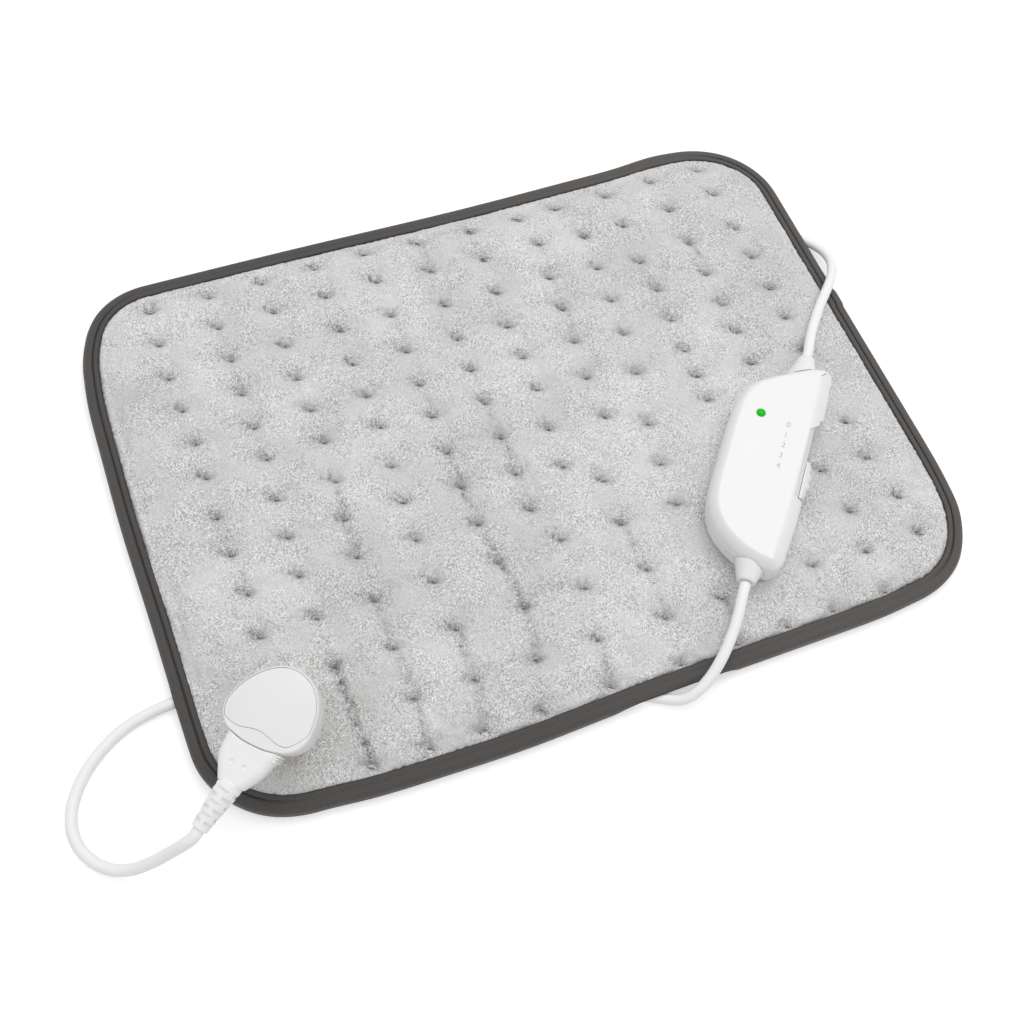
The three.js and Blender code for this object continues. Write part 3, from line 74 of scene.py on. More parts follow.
# Cord routes over the pad and the floor, in metres, from the controller outwards.
MAINS_ROUTE = [
    (0.0659, -0.1175, 0.0234), (0.0633, -0.1207, 0.0233), (0.0601, -0.1251, 0.0224), (0.0549, -0.1321, 0.0205),
    (0.0482, -0.1395, 0.0183), (0.0418, -0.1455, 0.0158), (0.0359, -0.1500, 0.0133), (0.0303, -0.1532, 0.0110),
    (0.0256, -0.1549, 0.0088), (0.0214, -0.1554, 0.0066), (0.0172, -0.1544, 0.0047), (0.0128, -0.1518, 0.0034),
    (0.0074, -0.1488, 0.0029), (-0.0020, -0.1442, 0.0029), (-0.0200, -0.1352, 0.0029), (-0.0450, -0.1224, 0.0029),
    (-0.0750, -0.1072, 0.0029), (-0.1050, -0.0936, 0.0029), (-0.1350, -0.0832, 0.0029), (-0.1680, -0.0772, 0.0029),
    (-0.2005, -0.0770, 0.0029), (-0.2122, -0.0783, 0.0029), (-0.2230, -0.0812, 0.0029), (-0.2332, -0.0864, 0.0029),
    (-0.2422, -0.0934, 0.0029), (-0.2494, -0.1020, 0.0029), (-0.2541, -0.1116, 0.0029), (-0.2552, -0.1218, 0.0029),
    (-0.2518, -0.1321, 0.0031), (-0.2448, -0.1400, 0.0043), (-0.2374, -0.1441, 0.0074), (-0.2282, -0.1463, 0.0134),
    (-0.2183, -0.1471, 0.0213), (-0.2114, -0.1475, 0.0277), (-0.2068, -0.1467, 0.0304), (-0.2039, -0.1447, 0.0314),
]
PAD_ROUTE = [
    (0.1537, -0.0122, 0.0234), (0.1564, -0.0089, 0.0232), (0.1609, -0.0029, 0.0216), (0.1669, 0.0046, 0.0192),
    (0.1743, 0.0130, 0.0173), (0.1826, 0.0217, 0.0152), (0.1908, 0.0296, 0.0130), (0.1979, 0.0367, 0.0113),
    (0.2032, 0.0434, 0.0096), (0.2068, 0.0507, 0.0078), (0.2077, 0.0580, 0.0060), (0.2058, 0.0646, 0.0048),
    (0.2016, 0.0704, 0.0044), (0.1951, 0.0762, 0.0044),
]

# The controller's outline, in shares of its length and width, from the pad lead's end round by the slider.
CONTROLLER_OUTLINE = [
    (0.498, -0.391), (0.486, -0.461), (0.393, -0.487), (0.252, -0.498), (0.12, -0.491), (-0.13, -0.476),
    (-0.273, -0.47), (-0.388, -0.448), (-0.467, -0.422), (-0.496, -0.352), (-0.498, -0.228), (-0.486, -0.076),
    (-0.468, 0.057), (-0.436, 0.2), (-0.392, 0.33), (-0.343, 0.42), (-0.281, 0.48), (-0.215, 0.501),
    (-0.1, 0.505), (0.017, 0.505), (0.111, 0.502), (0.19, 0.49), (0.256, 0.462), (0.306, 0.405),
    (0.345, 0.326), (0.379, 0.217), (0.417, 0.07), (0.453, -0.074), (0.483, -0.213), (0.496, -0.304),
]
# The plug head's outline, in shares of its length from the cord side and of its half width.
PLUG_OUTLINE = [
    (0, 0.1), (0.005, 0.25), (0.024, 0.426), (0.05, 0.584), (0.098, 0.752), (0.194, 0.90), (0.32, 0.96),
    (0.52, 0.885), (0.718, 0.70), (0.864, 0.47), (0.957, 0.22), (0.995, -0.02), (0.992, -0.22),
    (0.95, -0.46), (0.864, -0.68), (0.718, -0.875), (0.52, -0.985), (0.32, -1.0), (0.194, -0.92),
    (0.098, -0.752), (0.05, -0.584), (0.024, -0.426), (0.005, -0.25), (0, -0.1),
]


def limited(value, low=0.0, high=1.0):
    return min(max(value, low), high)


def bell(dx, reach_x, dy=0.0, reach_y=1.0):
    """1 at the middle and falling off round it."""
    return math.exp(-(dx / reach_x) ** 2 - (dy / reach_y) ** 2)


def waver(x, y, scale, seed):
    """A smooth random value between about -1 and 1 at a place."""
    return noise.noise(Vector((x * scale, y * scale, seed)))


def linear(code):
    """The scene-linear colour of a hexadecimal display colour."""
    parts = [(code >> shift & 255) / 255 for shift in (16, 8, 0)]
    return [part / 12.92 if part <= 0.04045 else ((part + 0.055) / 1.055) ** 2.4 for part in parts]


def size(name, description, default):
    return bpy.props.FloatProperty(
        name=name, description=description, default=default, min=0.0, precision=5, unit="LENGTH")


def paint(name, description, code):
    return bpy.props.FloatVectorProperty(
        name=name, description=description, default=linear(code), min=0.0, max=1.0, size=3, subtype="COLOR")


class PadSizes(bpy.types.PropertyGroup):
    length: size("Length", "Outside length of the pad", 0.4)
    width: size("Width", "Outside width of the pad", 0.3)
    corner: size("Corner radius", "Radius of the pad's corners", 0.045)
    crown: size("Crown height", "Height of the fleece in the middle", 0.014)
    edge: size("Edge height", "Height of the fleece beside the edge tape", 0.0088)
    crown_run: size("Crown run", "How far in from the tape the crown is reached", 0.026)
    tuft_depth: size("Tuft depth", "How far a tuft stitch pulls the fleece down", 0.0034)
    crease_depth: size("Crease depth", "Depth of the deepest crease between two tufts", 0.0015)
    mesh_step: size("Mesh step", "Distance between the cover's mesh lines before it is subdivided", 0.0019)
    nap: size("Nap", "Height of the clumps in the pile", 0.0006)
    tape_width: size("Tape width", "How far the edge tape reaches over the pad", 0.0084)
    tape_height: size("Tape height", "Height of the bound edge", 0.0086)
    tape_round: size("Tape roundness", "Radius at which the tape turns over", 0.003)


class ControllerSizes(bpy.types.PropertyGroup):
    length: size("Length", "Length of the case along the slider", 0.121)
    width: size("Width", "Width of the case", 0.046)
    height: size("Height", "Height of the case", 0.020)
    parting: size("Parting height", "Height of the joint between the two shells", 0.009)
    wall: size("Wall", "Wall thickness of the shells", 0.002)
    inset: size("Edge inset", "How far the top and the underside draw in", 0.0040)
    slider_inset: size("Slider side inset", "How far the top draws in on the slider's side", 0.0066)
    rib: size("Rib depth", "Depth of the slide knob's ribs", 0.0013)
    digits: size("Digit height", "Height of the numerals beside the slider", 0.0031)


class PlugSizes(bpy.types.PropertyGroup):
    length: size("Head length", "Length of the plug's head", 0.0365)
    width: size("Head width", "Width of the plug's head", 0.0404)
    height: size("Head height", "Height of the plug's head", 0.018)
    wall: size("Wall", "Wall thickness of the head", 0.002)
    lid: size("Lid height", "Height of the lid's edge", 0.004)
    rim: size("Rim", "Width of the body's rim round the lid", 0.0011)


class CordSizes(bpy.types.PropertyGroup):
    diameter: size("Diameter", "Diameter of both leads", 0.0054)


class Finishes(bpy.types.PropertyGroup):
    fleece: paint("Fleece", "Top cover of the pad, where the pile is lightest", 0xF2F2F2)
    backing: paint("Backing", "Under cover of the pad", 0xB9B9BB)
    tape: paint("Edge tape", "Binding round the pad", 0x534F4C)
    # The thread's grey, darker than the fleece, is partly painted shade: it stands for the dark dash in each tuft's
    # dimple.
    thread: paint("Thread", "Tuft stitches", 0x8A8A8D)
    case: paint("Case", "Controller shells and plug", 0xEDEDED)
    cord: paint("Cord", "Sheath of both leads", 0xF6F6F6)
    knob: paint("Knob", "Slide knob", 0xE2E2E2)
    digits: paint("Digits", "Printed numerals", 0xC0C0C4)
    lens: paint("Lens", "Indicator lens", 0x06AE08)


class StageSettings(bpy.types.PropertyGroup):
    lens: bpy.props.FloatProperty(
        name="Focal length", description="Focal length of the camera in millimetres", default=47.29, min=1.0)
    key: bpy.props.FloatProperty(
        name="Key lamp", description="Power of the large lamp, in watts", default=5.0, min=0.0)
    sky_top: bpy.props.FloatProperty(
        name="Sky overhead", description="Strength of the light from straight above", default=1.05, min=0.0)
    sky_low: bpy.props.FloatProperty(
        name="Sky at the horizon", description="Strength of the light from the sides", default=0.3, min=0.0)
    floor: paint("Floor", "Colour of the floor", 0xF2F2F2)


# ---------------------------------------------------------------- modelling helpers

def deselect():
    """Leaves edit mode with nothing selected."""
    if bpy.context.object and bpy.context.object.mode != "OBJECT":
        bpy.ops.object.mode_set(mode="OBJECT")
    bpy.ops.object.select_all(action="DESELECT")


def pick(piece):
    deselect()
    piece.select_set(True)
    bpy.context.view_layer.objects.active = piece


def named(name):
    piece = bpy.context.object
    piece.name = name
    piece.data.name = name
    return piece


def extrude_to(piece, last, ring, edges_only=False):
    """Extrudes the selected loop once and lays its vertices on the next ring."""
    (bpy.ops.mesh.extrude_edges_move if edges_only else bpy.ops.mesh.extrude_region_move)()
    mesh = bmesh.from_edit_mesh(piece.data)
    mesh.verts.ensure_lookup_table()
    mesh.verts.index_update()
    slots = {index: slot for slot, index in enumerate(last)}
    laid = [0] * len(last)
    for vert in mesh.verts[len(mesh.verts) - len(last):]:
        below = next(edge.other_vert(vert).index for edge in vert.link_edges
                     if edge.other_vert(vert).index in slots)
        laid[slots[below]] = vert.index
        vert.co = ring[slots[below]]
    bmesh.update_edit_mesh(piece.data)
    return laid


def ring_body(name, rings, loop=False):
    """A circle laid to the first ring and extruded from ring to ring, then closed at both ends or into a loop."""
    deselect()
    bpy.ops.mesh.primitive_circle_add(vertices=len(rings[0]), radius=0.01, fill_type="NOTHING")
    piece = named(name)
    for vert, place in zip(piece.data.vertices, rings[0]):
        vert.co = place
    bpy.ops.object.mode_set(mode="EDIT")
    bpy.ops.mesh.select_mode(type="VERT")
    bpy.ops.mesh.select_all(action="SELECT")
    if not loop:
        bpy.ops.mesh.edge_face_add()
    laid = list(range(len(rings[0])))
    for rank, ring in enumerate(rings[1:] + ([rings[0]] if loop else [])):
        laid = extrude_to(piece, laid, ring, edges_only=rank == 0 and not loop)
    if loop:
        bpy.ops.mesh.select_all(action="SELECT")
        bpy.ops.mesh.remove_doubles(threshold=1e-7)
    else:
        bpy.ops.mesh.edge_face_add()
    bpy.ops.mesh.select_all(action="SELECT")
    bpy.ops.mesh.normals_make_consistent(inside=False)
    deselect()
    return piece


def apply(piece, kind, **settings):
    """Adds one modifier with its settings and applies it."""
    pick(piece)
    change = piece.modifiers.new(kind.title(), kind)
    for key, value in settings.items():
        setattr(change, key, value)
    bpy.ops.object.modifier_apply(modifier=change.name)


def carve(piece, tool, operation="DIFFERENCE"):
    """Cuts the tool from the piece, or joins it on, and removes the tool."""
    apply(piece, "BOOLEAN", object=tool, operation=operation, solver="EXACT")
    bpy.data.objects.remove(tool)


def smooth(piece, degrees):
    pick(piece)
    bpy.ops.object.shade_smooth_by_angle(angle=math.radians(degrees))
    deselect()


def flip(piece):
    """Turns a piece's faces the other way round."""
    pick(piece)
    bpy.ops.object.mode_set(mode="EDIT")
    bpy.ops.mesh.select_all(action="SELECT")
    bpy.ops.mesh.flip_normals()
    deselect()


def one_of(pieces):
    """Joins several pieces into one."""
    deselect()
    for piece in pieces:
        piece.select_set(True)
    bpy.context.view_layer.objects.active = pieces[0]
    bpy.ops.object.join()
    return bpy.context.object


def block(size_xyz, middle):
    deselect()
    bpy.ops.mesh.primitive_cube_add(size=1.0, location=(0, 0, 0))
    piece = named("block")
    for vert in piece.data.vertices:
        vert.co = [middle[k] + vert.co[k] * size_xyz[k] for k in range(3)]
    deselect()
    return piece


def disc(radius, sides, x, y, z, axis="z"):
    """A circle of points, round the z axis or the x axis."""
    turns = [2 * math.pi * step / sides for step in range(sides)]
    if axis == "z":
        return [Vector((x + radius * math.cos(turn), y + radius * math.sin(turn), z)) for turn in turns]
    return [Vector((x, y + radius * math.cos(turn), z + radius * math.sin(turn))) for turn in turns]


def post(radius, low, high, x, y, sides=32):
    return ring_body("post", [disc(radius, sides, x, y, low), disc(radius, sides, x, y, high)])


def turned_along_x(name, profile, y, z, sides=48):
    """A body turned round an axis along x, from (x, radius) pairs."""
    return ring_body(name, [disc(radius, sides, x, y, z, "x") for x, radius in profile])


def on_span(first, second, low, high, at):
    """The point that lies on the way from first to second as at lies between low and high."""
    return first * ((high - at) / (high - low)) + second * ((at - low) / (high - low))


def closed_curve(points, count):
    """Evenly spaced points on a closed centripetal Catmull-Rom curve through the given ones."""
    fine, steps = [], 24
    for index in range(len(points)):
        near = [Vector((*points[(index + shift - 1) % len(points)], 0)) for shift in range(4)]
        knots = [0.0]
        for first, second in zip(near, near[1:]):
            knots.append(knots[-1] + math.sqrt((second - first).length))
        for step in range(steps):
            at = knots[1] + (knots[2] - knots[1]) * step / steps
            a = [on_span(near[k], near[k + 1], knots[k], knots[k + 1], at) for k in range(3)]
            b = [on_span(a[k], a[k + 1], knots[k], knots[k + 2], at) for k in range(2)]
            fine.append(on_span(b[0], b[1], knots[1], knots[2], at))
    return evenly(fine, count)


def evenly(points, count):
    """Points at equal distances round a closed polygon."""
    reach = [0.0]
    for index, point in enumerate(points):
        reach.append(reach[-1] + (points[(index + 1) % len(points)] - point).length)
    result, slot = [], 0
    for step in range(count):
        target = reach[-1] * step / count
        while reach[slot + 1] < target:
            slot += 1
        share = (target - reach[slot]) / (reach[slot + 1] - reach[slot])
        result.append(points[slot].lerp(points[(slot + 1) % len(points)], share))
    return result


def inset(outline, distance, height, slope=0.0):
    """An outline drawn in by a distance, and by the slope more on its -y side, without loops at tight corners."""
    count = len(outline)
    area = sum(outline[i - 1].x * outline[i].y - outline[i].x * outline[i - 1].y for i in range(count))
    hand = 1 if area > 0 else -1
    ring, sound = [], []
    for index, point in enumerate(outline):
        along = (outline[(index + 1) % count] - outline[index - 1]).normalized() * hand
        reach = distance + slope * max(0.0, along.x)
        place = Vector((point.x - along.y * reach, point.y + along.x * reach, 0))
        ring.append(place)
        sound.append(reach < 1e-7 or min((place - other).length_squared for other in outline) > (0.985 * reach) ** 2)
    start = sound.index(True)
    index = start
    while index < start + count:
        ahead = index + 1
        while not sound[ahead % count]:
            ahead += 1
        for step in range(index + 1, ahead):
            share = (step - index) / (ahead - index)
            ring[step % count] = ring[index % count].lerp(ring[ahead % count], share)
        index = ahead
    for place in ring:
        place.z = height
    return ring


def finish_piece(piece, body, slot, *nodes, material=None):
    """Gives a finished piece its body, its slot, its finish and the nodes that it stands for."""
    piece.data.materials.clear()
    piece.data.materials.append(material or bpy.data.materials[slot + "_finish"])
    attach(piece, body)
    if nodes:
        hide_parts(*nodes)


def seat(piece, place, degrees, body, slot, *nodes):
    """Moves a piece to its place on the pad, smooths it and finishes it."""
    piece.data.transform(place)
    smooth(piece, degrees)
    finish_piece(piece, body, slot, *nodes)


# ---------------------------------------------------------------- finishes

def group(name, **inputs):
    """An empty shader node group: inputs named after the given defaults, and a colour, a height and a roughness out."""
    tree = bpy.data.node_groups.new(name, "ShaderNodeTree")
    for title, default in inputs.items():
        kind = "NodeSocketFloat" if isinstance(default, float) else "NodeSocketColor"
        socket = tree.interface.new_socket(title.replace("_", " "), in_out="INPUT", socket_type=kind)
        socket.default_value = default
    for title, kind in (("Colour", "Color"), ("Height", "Float"), ("Roughness", "Float")):
        tree.interface.new_socket(title, in_out="OUTPUT", socket_type="NodeSocket" + kind)
    given, out = tree.nodes.new("NodeGroupInput"), tree.nodes.new("NodeGroupOutput")
    return tree, given.outputs, out.inputs


def node(tree, kind, values=None, **settings):
    made = tree.nodes.new("ShaderNode" + kind)
    for key, value in settings.items():
        setattr(made, key, value)
    for key, value in (values or {}).items():
        if isinstance(value, bpy.types.NodeSocket):
            tree.links.new(value, made.inputs[key])
        else:
            made.inputs[key].default_value = value
    return made


def give(tree, out, **results):
    """Links a group's results to its outputs."""
    for title, socket in results.items():
        tree.links.new(socket, out[title])


def cloudy(tree, place, scale, detail, **more):
    """Random noise at a scale and detail."""
    values = {"Vector": place, "Scale": scale, "Detail": detail, **more}
    return node(tree, "TexNoise", values).outputs["Fac"]


def maths(tree, operation, first, second, clamp=False):
    return node(tree, "Math", {0: first, 1: second}, operation=operation, use_clamp=clamp).outputs[0]


def blend_colours(tree, factor, first, second):
    mixed = node(tree, "Mix", data_type="RGBA")
    for slot, value in (("Factor", factor), ("A", first), ("B", second)):
        socket = [s for s in mixed.inputs if s.name == slot and s.enabled][0]
        if isinstance(value, bpy.types.NodeSocket):
            tree.links.new(value, socket)
        else:
            socket.default_value = value
    return [s for s in mixed.outputs if s.enabled][0]


def between(tree, value, low, high, to_low=0.0, to_high=1.0):
    return node(tree, "MapRange", {0: value, 1: low, 2: high, 3: to_low, 4: to_high}).outputs[0]


def sunken_places(tree):
    """How much painted shade each point carries, from the mesh: in tuft holes, creases and the tape's groove and edges.
    """
    return node(tree, "Attribute", attribute_type="GEOMETRY", attribute_name="sunken").outputs["Fac"]


def brushed_pile():
    """Fleece: short strands that lie one way here and another there, calm patches, painted shade where the pile is low,
    and painted shade in the tuft holes and creases.
    """
    tree, given, out = group(
        "Brushed Pile", Colour=(0.7, 0.7, 0.7, 1), Deep_Colour=(0.4, 0.4, 0.4, 1), Sunken_Colour=(0.1, 0.1, 0.1, 1),
        Strand_Size=0.0008, Fibre_Size=0.0004, Patch_Size=0.014)
    place = node(tree, "TexCoord").outputs["Object"]
    patch_scale, strand_scale, fibre_scale = [
        maths(tree, "DIVIDE", 1.0, given[title]) for title in ("Patch Size", "Strand Size", "Fibre Size")]
    strands = None
    for rank, turn in enumerate((0.3, 1.35, 2.4)):
        laid = node(tree, "Mapping", {"Vector": place, "Location": (0.31 * rank, 0.17 * rank, 0),
                                      "Rotation": (0, 0, turn), "Scale": (1.0, 1.8, 1.0)}, vector_type="TEXTURE")
        lying = cloudy(tree, laid.outputs[0], strand_scale, 2.0, Roughness=0.55, Distortion=0.7)
        if strands is None:
            strands = lying
            continue
        moved = node(tree, "Mapping", {"Vector": place, "Location": (0.5 * rank, 0.9 * rank, 0)}).outputs[0]
        share = between(tree, cloudy(tree, moved, patch_scale, 1.0), 0.46, 0.54)
        strands = maths(tree, "ADD", maths(tree, "MULTIPLY", lying, share),
                        maths(tree, "MULTIPLY", strands, maths(tree, "SUBTRACT", 1.0, share)))
    fibres = cloudy(tree, place, fibre_scale, 1.0, Roughness=0.6)
    height = maths(tree, "ADD", maths(tree, "MULTIPLY", strands, 0.78), maths(tree, "MULTIPLY", fibres, 0.22))
    calm = cloudy(tree, place, maths(tree, "MULTIPLY", patch_scale, 0.9), 2.0)
    strength = between(tree, calm, 0.38, 0.55, 0.35, 1.0)
    # Painted shade in the pile: the colour runs from the deep colour where the pile is low to the light colour on its
    # clumps, over a broad random change of tone.
    level = between(tree, height, 0.40, 0.60)
    swing = maths(tree, "MULTIPLY", maths(tree, "SUBTRACT", level, 0.5), strength)
    broad = cloudy(tree, place, maths(tree, "MULTIPLY", patch_scale, 0.4), 2.0)
    lit = maths(tree, "ADD", between(tree, broad, 0.3, 0.7, 0.40, 0.62), swing)
    pile = blend_colours(tree, lit, given["Deep Colour"], given["Colour"])
    # Painted shade from the mesh, ragged, and stronger where the pile is low.
    fuzzy = maths(tree, "SUBTRACT", 1.35, maths(tree, "MULTIPLY", level, 0.9))
    sunken = maths(tree, "MULTIPLY", sunken_places(tree), fuzzy, clamp=True)
    give(tree, out, Colour=blend_colours(tree, sunken, pile, given["Sunken Colour"]),
         Height=maths(tree, "MULTIPLY", height, strength), Roughness=between(tree, fibres, 0.3, 0.7, 0.86, 1.0))


def moulded_skin():
    """Moulded plastic: a faint grain, soft handling marks and a little uneven gloss."""
    tree, given, out = group(
        "Moulded Skin", Colour=(0.8, 0.8, 0.8, 1), Marked_Colour=(0.7, 0.7, 0.7, 1), Grain_Size=0.0006,
        Gloss_Low=0.2, Gloss_High=0.35)
    place = node(tree, "TexCoord").outputs["Object"]
    grain = cloudy(tree, place, maths(tree, "DIVIDE", 1.0, given["Grain Size"]), 2.0, Roughness=0.6)
    marks = cloudy(tree, place, 55.0, 5.0, Roughness=0.6)
    worn = between(tree, marks, 0.48, 0.75, 0.0, 0.5)
    swing = maths(tree, "SUBTRACT", given["Gloss High"], given["Gloss Low"])
    give(tree, out, Colour=blend_colours(tree, worn, given["Colour"], given["Marked Colour"]),
         Height=grain, Roughness=maths(tree, "ADD", given["Gloss Low"], maths(tree, "MULTIPLY", marks, swing)))


def drawn_metal():
    """Metal with fine drawing lines along one direction and duller patches."""
    tree, given, out = group(
        "Drawn Metal", Colour=(0.7, 0.7, 0.7, 1), Dull_Colour=(0.5, 0.5, 0.5, 1), Line_Size=0.0002)
    place = node(tree, "TexCoord").outputs["Object"]
    drawn = node(tree, "Mapping", {"Vector": place, "Rotation": (0, 0.2, 0.75), "Scale": (0.08, 1.0, 1.0)})
    lines = cloudy(tree, drawn.outputs[0], maths(tree, "DIVIDE", 1.0, given["Line Size"]), 3.0)
    dull = between(tree, cloudy(tree, place, 180.0, 4.0), 0.45, 0.7, 0.0, 0.8)
    give(tree, out, Colour=blend_colours(tree, dull, given["Colour"], given["Dull Colour"]),
         Height=lines, Roughness=between(tree, lines, 0.3, 0.7, 0.22, 0.42))


RIB_PITCH, WEFT_PITCH = 0.0009, 0.0005


def ribbed_tape():
    """Edge tape: fine ribs across it, painted shade in its groove and along its edges, and a slight random change of
    tone along it.
    """
    tree, given, out = group(
        "Ribbed Tape", Colour=(0.1, 0.1, 0.1, 1), Rib_Colour=(0.2, 0.2, 0.2, 1), Sunken_Colour=(0.02, 0.02, 0.02, 1),
        Rib_Pitch=RIB_PITCH)
    woven = node(tree, "UVMap", uv_map="Weave").outputs[0]
    axes = node(tree, "SeparateXYZ", {0: woven})
    ribs, weft = [
        between(tree, maths(tree, "SINE", maths(tree, "MULTIPLY", axis, often), 0.0), -1.0, 1.0)
        for axis, often in ((axes.outputs[0], maths(tree, "DIVIDE", 2 * math.pi, given["Rib Pitch"])),
                            (axes.outputs[1], 2 * math.pi / WEFT_PITCH))]
    place = node(tree, "TexCoord").outputs["Object"]
    uneven, fuzz = cloudy(tree, place, 90.0, 4.0), cloudy(tree, place, 1500.0, 2.0)
    lit = maths(tree, "MULTIPLY", ribs, between(tree, uneven, 0.35, 0.65, 0.4, 1.0))
    lit = maths(tree, "MULTIPLY", lit, between(tree, fuzz, 0.3, 0.7, 0.6, 1.0))
    ribbed = blend_colours(tree, lit, given["Colour"], given["Rib Colour"])
    give(tree, out, Colour=blend_colours(tree, sunken_places(tree), ribbed, given["Sunken Colour"]),
         Height=maths(tree, "ADD", maths(tree, "MULTIPLY", ribs, 0.7), maths(tree, "MULTIPLY", weft, 0.3)),
         Roughness=between(tree, uneven, 0.3, 0.7, 0.5, 0.68))


def surface(name, effect, values, bump, depth, **sockets):
    """A finish: one effect group feeding a Principled shader, with its height as a bump."""
    material = bpy.data.materials.new(name + "_finish")
    material.use_nodes = True
    tree = material.node_tree
    shader = tree.nodes["Principled BSDF"]
    used = tree.nodes.new("ShaderNodeGroup")
    used.node_tree = bpy.data.node_groups[effect]
    for key, value in values.items():
        used.inputs[key].default_value = value
    raised = node(tree, "Bump", {"Strength": bump, "Distance": depth, "Height": used.outputs["Height"]})
    tree.links.new(used.outputs["Colour"], shader.inputs["Base Color"])
    tree.links.new(used.outputs["Roughness"], shader.inputs["Roughness"])
    tree.links.new(raised.outputs[0], shader.inputs["Normal"])
    for key, value in sockets.items():
        shader.inputs[key.replace("_", " ")].default_value = value
    material.diffuse_color = (*list(values["Colour"])[:3], 1)


def shaded(colour, factor):
    return (*[min(1.0, part * factor) for part in colour[:3]], 1)


PLASTIC_BUMP, METAL_BUMP, METAL_DEPTH = 0.12, 0.2, 0.00003


def plastic(name, colour, grain=0.0006, gloss=(0.2, 0.32), marked=0.93, **sockets):
    surface(name, "Moulded Skin", {
        "Colour": shaded(colour, 1), "Marked Colour": shaded(colour, marked), "Grain Size": grain,
        "Gloss Low": gloss[0], "Gloss High": gloss[1]}, PLASTIC_BUMP, grain / 8, **sockets)


def metal(name, colour):
    surface(name, "Drawn Metal", {
        "Colour": shaded(colour, 1), "Dull Colour": shaded(colour, 0.7)}, METAL_BUMP, METAL_DEPTH, Metallic=1.0)


# A cloth's darkest colour, about a fifth of its deep colour, is painted shade for its holes and creases.
def cloth(name, colour, deep, strand, fibre, patch, bump, depth, **sockets):
    surface(name, "Brushed Pile", {
        "Colour": shaded(colour, 1), "Deep Colour": shaded(colour, deep), "Sunken Colour": shaded(colour, deep * 0.22),
        "Strand Size": strand, "Fibre Size": fibre, "Patch Size": patch}, bump, depth, **sockets)


def make_finishes(look):
    brushed_pile()
    moulded_skin()
    drawn_metal()
    ribbed_tape()
    cloth("fleece", look.fleece, 0.41, 0.0006, 0.00036, 0.014, 0.7, 0.0005, Sheen_Weight=0.12, Sheen_Roughness=0.6)
    cloth("backing", look.backing, 0.72, 0.0006, 0.0004, 0.02, 0.5, 0.0003, Sheen_Weight=0.1)
    cloth("carrier", linear(0xD8D4CC), 0.8, 0.0008, 0.0003, 0.01, 0.4, 0.0002)
    # The tape's darkest colour is painted shade for its groove, its edges and its left end.
    surface("binding", "Ribbed Tape", {
        "Colour": shaded(look.tape, 0.75), "Rib Colour": shaded(look.tape, 1.25),
        "Sunken Colour": shaded(look.tape, 0.18)}, 0.6, 0.0003, Sheen_Weight=0.08)
    cloth("thread", look.thread, 0.55, 0.0005, 0.0002, 0.01, 0.6, 0.0003)
    plastic("white_case", look.case, gloss=(0.24, 0.3), marked=0.985, Coat_Weight=0.1, Coat_Roughness=0.15)
    plastic("white_cord", look.cord, grain=0.0004, gloss=(0.34, 0.46), marked=0.95)
    plastic("knob", look.knob, gloss=(0.14, 0.24), Coat_Weight=0.4, Coat_Roughness=0.08)
    plastic("digits", look.digits, gloss=(0.4, 0.5))
    plastic("lens", look.lens, gloss=(0.08, 0.15), Specular_IOR_Level=0.2,
            Emission_Color=shaded(look.lens, 1), Emission_Strength=0.25)
    plastic("heating_wire", linear(0xC9B48A), gloss=(0.4, 0.55))
    plastic("board", linear(0x2E6B3C), grain=0.0009, gloss=(0.3, 0.5), marked=0.7)
    plastic("blue_film", linear(0x2D4F9E), gloss=(0.25, 0.4))
    plastic("ceramic", linear(0xE8E2D2), grain=0.0003, gloss=(0.55, 0.7))
    for name, code in (("protector", 0x3B3B3D), ("black_plastic", 0x2A2A2C), ("green_terminal", 0x3E8A4E),
                       ("brown_wire", 0x6B3F22), ("blue_wire", 0x2E5FA8)):
        plastic(name, linear(code), gloss=(0.35, 0.5))
    for name, code in (("aluminium", 0xC4C7CA), ("steel", 0xB9BCC0), ("brass", 0xC7A75A)):
        metal(name, linear(code))


def dress_nodes():
    """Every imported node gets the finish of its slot."""
    for name, part in frame["nodes"].items():
        for slot in part.material_slots:
            base = slot.material.name.split(".")[0]
            found = bpy.data.materials.get(base + "_finish")
            if found is None:
                raise RuntimeError(f"no finish for slot {base} on {name}")
            slot.material = found


# ---------------------------------------------------------------- stage

def make_camera(stage):
    deselect()
    bpy.ops.object.camera_add()
    camera = bpy.context.object
    camera.name = "view_of_the_pad"
    camera.data.lens = stage.lens
    camera.data.sensor_width = 36.0
    camera.data.clip_start, camera.data.clip_end = 0.02, 20.0
    back = CAMERA_RIGHT.cross(CAMERA_UP)
    camera.matrix_world = Matrix.Translation(CAMERA_PLACE) @ Matrix(
        (CAMERA_RIGHT, CAMERA_UP, back)).transposed().to_4x4()
    bpy.context.scene.camera = camera


def make_lamp(name, power, width, place, target):
    deselect()
    bpy.ops.object.light_add(type="AREA", location=place)
    lamp = bpy.context.object
    lamp.name = name
    lamp.data.shape = "DISK"
    lamp.data.size = width
    lamp.data.energy = power
    lamp.rotation_euler = (Vector(target) - Vector(place)).to_track_quat("-Z", "Y").to_euler()


def seen_directly(tree):
    """1 for camera, mirror and glass rays, 0 for the rays that light the object."""
    path = node(tree, "LightPath").outputs
    seen = maths(tree, "MAXIMUM", path["Is Camera Ray"], path["Is Glossy Ray"])
    return maths(tree, "MAXIMUM", seen, path["Is Transmission Ray"])


